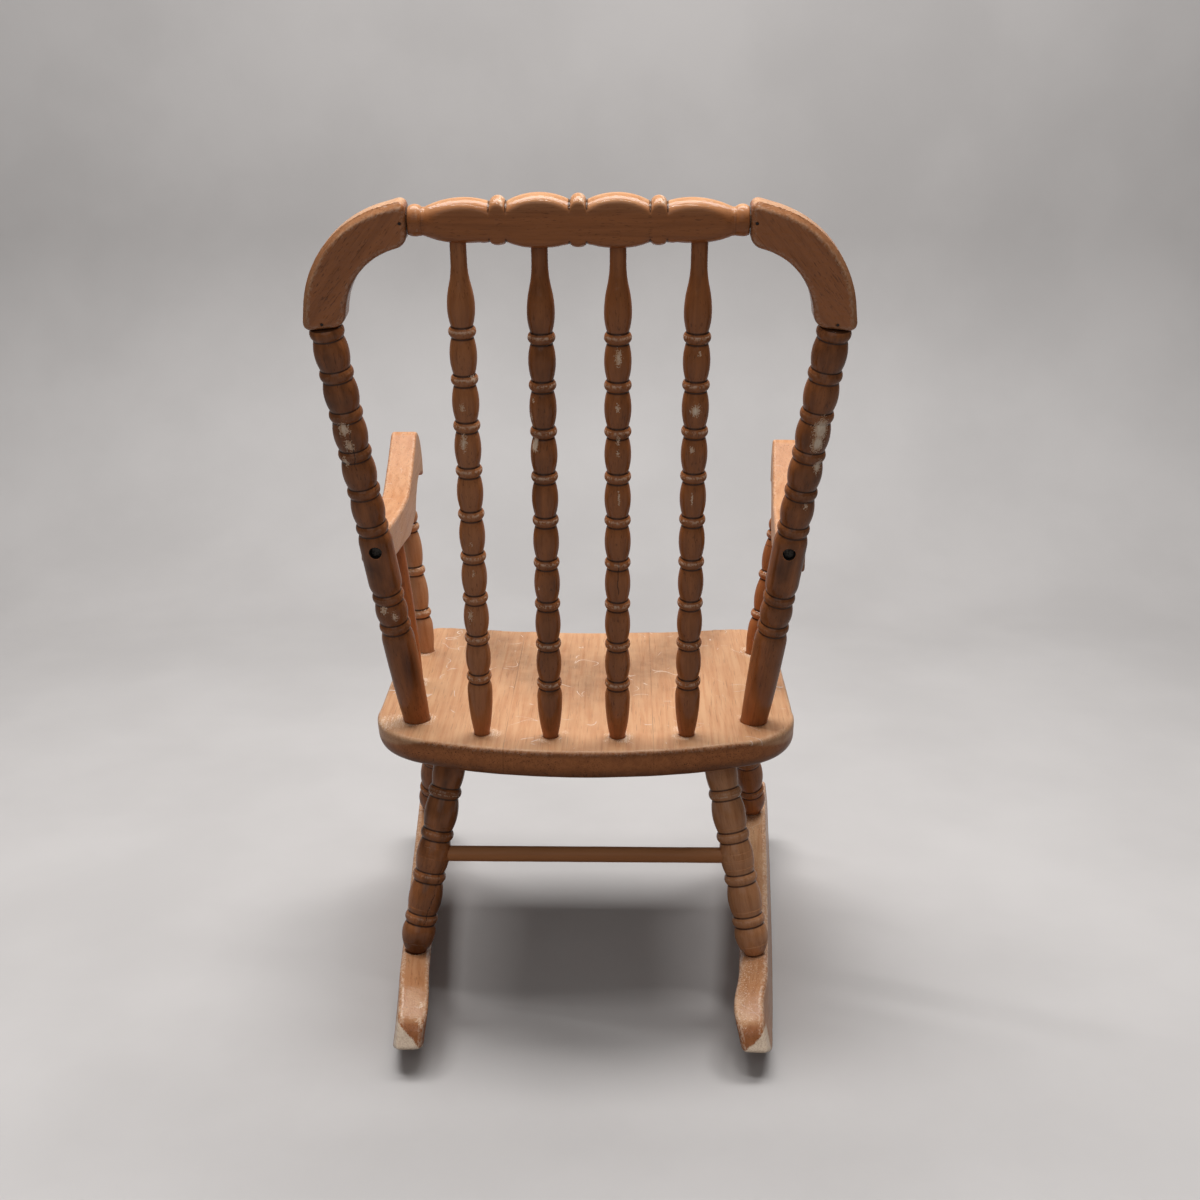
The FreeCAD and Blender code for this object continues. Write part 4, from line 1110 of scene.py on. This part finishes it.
def ear_wear(points, normals, local):
    """Top, outer bevel and its edge line paler from wear and painted light; inner bevel in painted shade."""
    depth = ear_depth(points)
    outward = ear_outward(points, normals)
    # The edge line, outer bevel and top are paler from wear and painted light.
    line = bell(depth, *EAR_LINE) * ramp(outward, 0.05, 0.25)
    outer = ramp(depth, *EAR_OUTER) * ramp(outward, 0.2, 0.5)
    # The inner bevel gets painted shade.
    inner = ramp(depth, *EAR_INNER) * ramp(-outward, 0.2, 0.5)
    top = ramp(normals[:, 2], *SAWN_TOP)
    worn_and_lit = np.maximum.reduce([EAR_LINE_WORN_AND_LIT * line, EAR_OUTER_WORN_AND_LIT * outer, top])
    return np.zeros(len(points)), worn_and_lit, EAR_INNER_SHADE * inner


def bevelled_ear(points, normals):
    """An ear's points with a flat bevel along the outer edge of its rear face."""
    out = np.array(BACK_OUT)
    depth = ear_depth(points)
    flat = points - (points @ out)[:, None] * out
    rim = (depth > EAR_SIDE[0]) & (depth < EAR_SIDE[1]) & (ear_outward(points, normals) > EAR_SIDE_OUTWARD)
    _, side = side_of(points)
    for pin in pin_ends(side):
        rim &= np.linalg.norm(flat - (pin - out * (pin @ out)), axis=1) > DOWEL_REACH
    outline = flat[rim]
    tree = KDTree(len(outline))
    for index, point in enumerate(outline):
        tree.insert(point, index)
    tree.balance()
    inset = np.array([tree.find(point)[2] for point in flat])
    sunk = np.clip(BEVEL_WIDTH - inset, 0, None) * BEVEL_SLOPE
    return points - np.clip(sunk - depth, 0, None)[:, None] * out


def eased_corners(points, edges):
    """The seat's points with its rear corners rubbed rounder below, more so at the left."""
    share = by_side(points, EASED_SHARE) * ramp(points[:, 1], *EASED_BEHIND)
    share = share * ramp(np.abs(points[:, 0]), *EASED_BESIDE) * ramp(below_seat_top(points), *EASED_BELOW)
    return points + share[:, None] * (smoothed(points, edges, EASED_ROUNDS) - points)


def rounded_tail(local, label, edges):
    """A rocker's points with its tail worn: thinner, slanted, lifted underneath, turned in and smoothed."""
    share = np.clip(1 - local[:, 2] / TAIL_LENGTH, 0, 1) ** 2
    tail = share > 0
    middle = local[tail, 1].mean()
    rise = local[:, 0] - local[tail, 0].min()
    height = np.clip(rise, 0, None)
    slanted = np.clip(1 - local[:, 2] / SLANT_LENGTH, 0, 1)
    twisted = TAIL_TWIST[label] * fall(local[:, 2], TAIL_LENGTH, TWIST_LENGTH)
    result = local.copy()
    result[:, 0] += TAIL_LIFT * share * fall(rise, 0, TAIL_UNDER)
    result[:, 1] = middle + (local[:, 1] - middle) * (1 - TAIL_THINNING * share)
    result[:, 1] += SIDES[label] * twisted * height
    result[:, 2] += TAIL_SLANT * height * slanted
    eased = fall(local[:, 2], TAIL_END, TAIL_LENGTH)[:, None]
    return result + eased * (smoothed(result, edges, TAIL_ROUNDS) - result)


@dataclass
class Sawn:
    """One kind of sawn piece: spacing of its points, height of a full edge, wear, material and slot."""

    spacing: float
    proud: float
    wear: Callable
    material: bpy.types.Material
    slot: str


SAWN_KINDS = {
    "seat": Sawn(1.7 * MM, 0.5 * MM, seat_wear, seat_wood, "seat_wood"),
    "arm": Sawn(1.3 * MM, 0.25 * MM, arm_wear, arm_wood, "sawn_wood"),
    "crest_ear": Sawn(1.2 * MM, 0.25 * MM, ear_wear, ear_wood, "sawn_wood"),
    "rocker": Sawn(1.5 * MM, 0.3 * MM, rocker_wear, rocker_wood, "rocker_wood"),
}


def sawn_piece(node, number):
    """A sawn piece over its CAD node's surface, with its wear and its worn forms."""
    kind = next(name for name in SAWN_KINDS if node.endswith(name))
    sawn = SAWN_KINDS[kind]
    start, end = (Vector(place) for place in SAWN_GRAIN[node])
    matrix = piece_matrix(start, end - start)
    mesh = even_mesh(node, sawn.spacing)
    points, normals, edges = mesh_arrays(mesh)
    if kind == "crest_ear":
        move_points(mesh, bevelled_ear(points, normals))
        points, normals, edges = mesh_arrays(mesh)
    proud = ((points - smoothed(points, edges, PROUD_ROUNDS)) * normals).sum(axis=1)
    edge = np.clip(proud / sawn.proud, -EDGE_LIMIT, EDGE_LIMIT)
    local = to_local(matrix, points)
    bare_and_lit, worn_and_lit, grime_and_shade = sawn.wear(points, normals, local)
    if kind == "seat":
        points = eased_corners(points, edges)
    uneven = UNEVEN * rough_noise(local, UNEVEN_CELL, SAWN_SEED + SEED_STEP * number)
    points = points + uneven[:, None] * normals
    if kind == "rocker":
        label, _ = side_of(points)
        points = to_world(matrix, rounded_tail(to_local(matrix, points), label, edges))
    move_points(mesh, points)
    marks = {"edge": edge, "worn_and_lit": worn_and_lit, "bare_and_lit": bare_and_lit, "grime_and_shade": grime_and_shade}
    set_marks(mesh, local + SAWN_GRAIN_STEP * (number + 1), marks)
    return add_piece(node, mesh, sawn.material)


for number, node in enumerate(SAWN_GRAIN):
    pieces[node] = sawn_piece(node, number)


# Pin holes in the ears

PIN_PROFILE = ((-4 * MM, 1.15 * MM), (0.05 * MM, 1.15 * MM))
for label, side in SIDES.items():
    for end in pin_ends(side):
        cut_bore(label + "_crest_ear", end, -BACK_OUT, PIN_PROFILE)


# Fittings kept from the CAD model

FITTING_FINISH = {
    "arm_screws": plain_finish(
        "screw_steel", srgb(70, 66, 62), srgb(38, 34, 32), roughness=0.45, metallic=1.0
    ),
    "ear_dowels": plain_finish("dowel_bare", BARE, WORN, roughness=0.6),
    # The pins sit at the bottom of their holes and are painted near black: painted shade.
    "ear_pins": plain_finish("pin_shade", srgb(40, 27, 20), srgb(22, 15, 11), roughness=0.7),
}
for node, material in FITTING_FINISH.items():
    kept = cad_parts[node].data
    kept.materials.clear()
    kept.materials.append(material)


# Stage, light and camera

SWEEP_FRONT = 6.0
SWEEP_BACK = -1.6
SWEEP_TOP = 5.0
SWEEP_HALF = 6.0
SWEEP_BEND = 0.6
SWEEP_STEPS = 24
PAPER_SHOWN = srgb(196, 192, 190)
PAPER_BOUNCE = srgb(104, 100, 98)
PAPER_ROUGHNESS = 0.6
WORLD_STRENGTH = 0.15


def stage_material(name, colour, bounce):
    """A plain matt surface that shows its colour and gives back less light than it shows."""
    shade = Shade(name)
    path = shade.add("ShaderNodeLightPath")
    seen = shade.math("ADD", path.outputs["Is Camera Ray"], path.outputs["Is Glossy Ray"], clamp=True)
    seen = shade.math("ADD", seen, path.outputs["Is Transmission Ray"], clamp=True)
    speckle = shade.step(shade.noise(shade.place(), scale=3, detail=6), 0.3, 0.7, to_high=0.12)
    shown = shade.mix(speckle, colour, bounce)
    shade.set(Base_Color=shade.mix(seen, bounce, shown), Roughness=PAPER_ROUGHNESS)
    return shade.material


def add_sweep():
    """Floor and backdrop in one sheet, curved where they meet."""
    turns = np.linspace(0, np.pi / 2, SWEEP_STEPS)
    bend_ys = SWEEP_BACK + SWEEP_BEND - SWEEP_BEND * np.sin(turns)
    bend_zs = SWEEP_BEND - SWEEP_BEND * np.cos(turns)
    profile = [(SWEEP_FRONT, 0.0), *zip(bend_ys, bend_zs), (SWEEP_BACK, SWEEP_TOP)]
    points = [(x, y, z) for y, z in profile for x in (-SWEEP_HALF, SWEEP_HALF)]
    faces = [(2 * i, 2 * i + 1, 2 * i + 3, 2 * i + 2) for i in range(len(profile) - 1)]
    mesh = bpy.data.meshes.new("studio_sweep")
    mesh.from_pydata(points, [], faces)
    mesh.polygons.foreach_set("use_smooth", [True] * len(mesh.polygons))
    mesh.materials.append(stage_material("studio_paper", PAPER_SHOWN, PAPER_BOUNCE))
    add_object("studio_sweep", mesh)


def add_lamp(name, place, aim, size, power):
    data = bpy.data.lights.new(name, "AREA")
    data.shape = "RECTANGLE"
    data.size, data.size_y = size
    data.energy = power
    lamp = add_object(name, data)
    lamp.location = place
    lamp.rotation_euler = (Vector(aim) - Vector(place)).to_track_quat("-Z", "Y").to_euler()


add_sweep()
add_lamp("top_light", place=(0.0, -0.35, 2.3), aim=(0, 0, 0.3), size=(2.4, 0.7), power=58)
add_lamp("key_light", place=(0.15, 0.45, 2.2), aim=(0, 0.1, 0.3), size=(1.3, 0.06), power=12)
add_lamp("rear_fill", place=(0.4, 2.8, 1.7), aim=(0, 0, 0.4), size=(2.6, 2.6), power=14.5)

world = bpy.data.worlds.new("studio")
world.use_nodes = True
world.node_tree.nodes["Background"].inputs["Color"].default_value = (1, 1, 1, 1)
world.node_tree.nodes["Background"].inputs["Strength"].default_value = WORLD_STRENGTH
bpy.context.scene.world = world
bpy.context.scene.view_settings.view_transform = "Standard"

CAMERA_PLACE = Vector((-0.0344, 1.3028, 0.7239))
CAMERA_PITCH = np.radians(16.264)
CAMERA_YAW = np.radians(-1.019)
CAMERA_ROLL = np.radians(-0.057)
CAMERA_LENS = 45
CAMERA_SENSOR = 36
forward = Vector((
    -np.sin(CAMERA_YAW) * np.cos(CAMERA_PITCH),
    -np.cos(CAMERA_YAW) * np.cos(CAMERA_PITCH),
    -np.sin(CAMERA_PITCH),
))
camera_data = bpy.data.cameras.new("camera")
camera_data.lens = CAMERA_LENS
camera_data.sensor_width = CAMERA_SENSOR
camera = add_object("camera", camera_data)
camera.matrix_world = Matrix.Translation(CAMERA_PLACE) @ (
    forward.to_track_quat("-Z", "Y").to_matrix().to_4x4() @ Matrix.Rotation(CAMERA_ROLL, 4, "Z")
)
bpy.context.scene.camera = camera
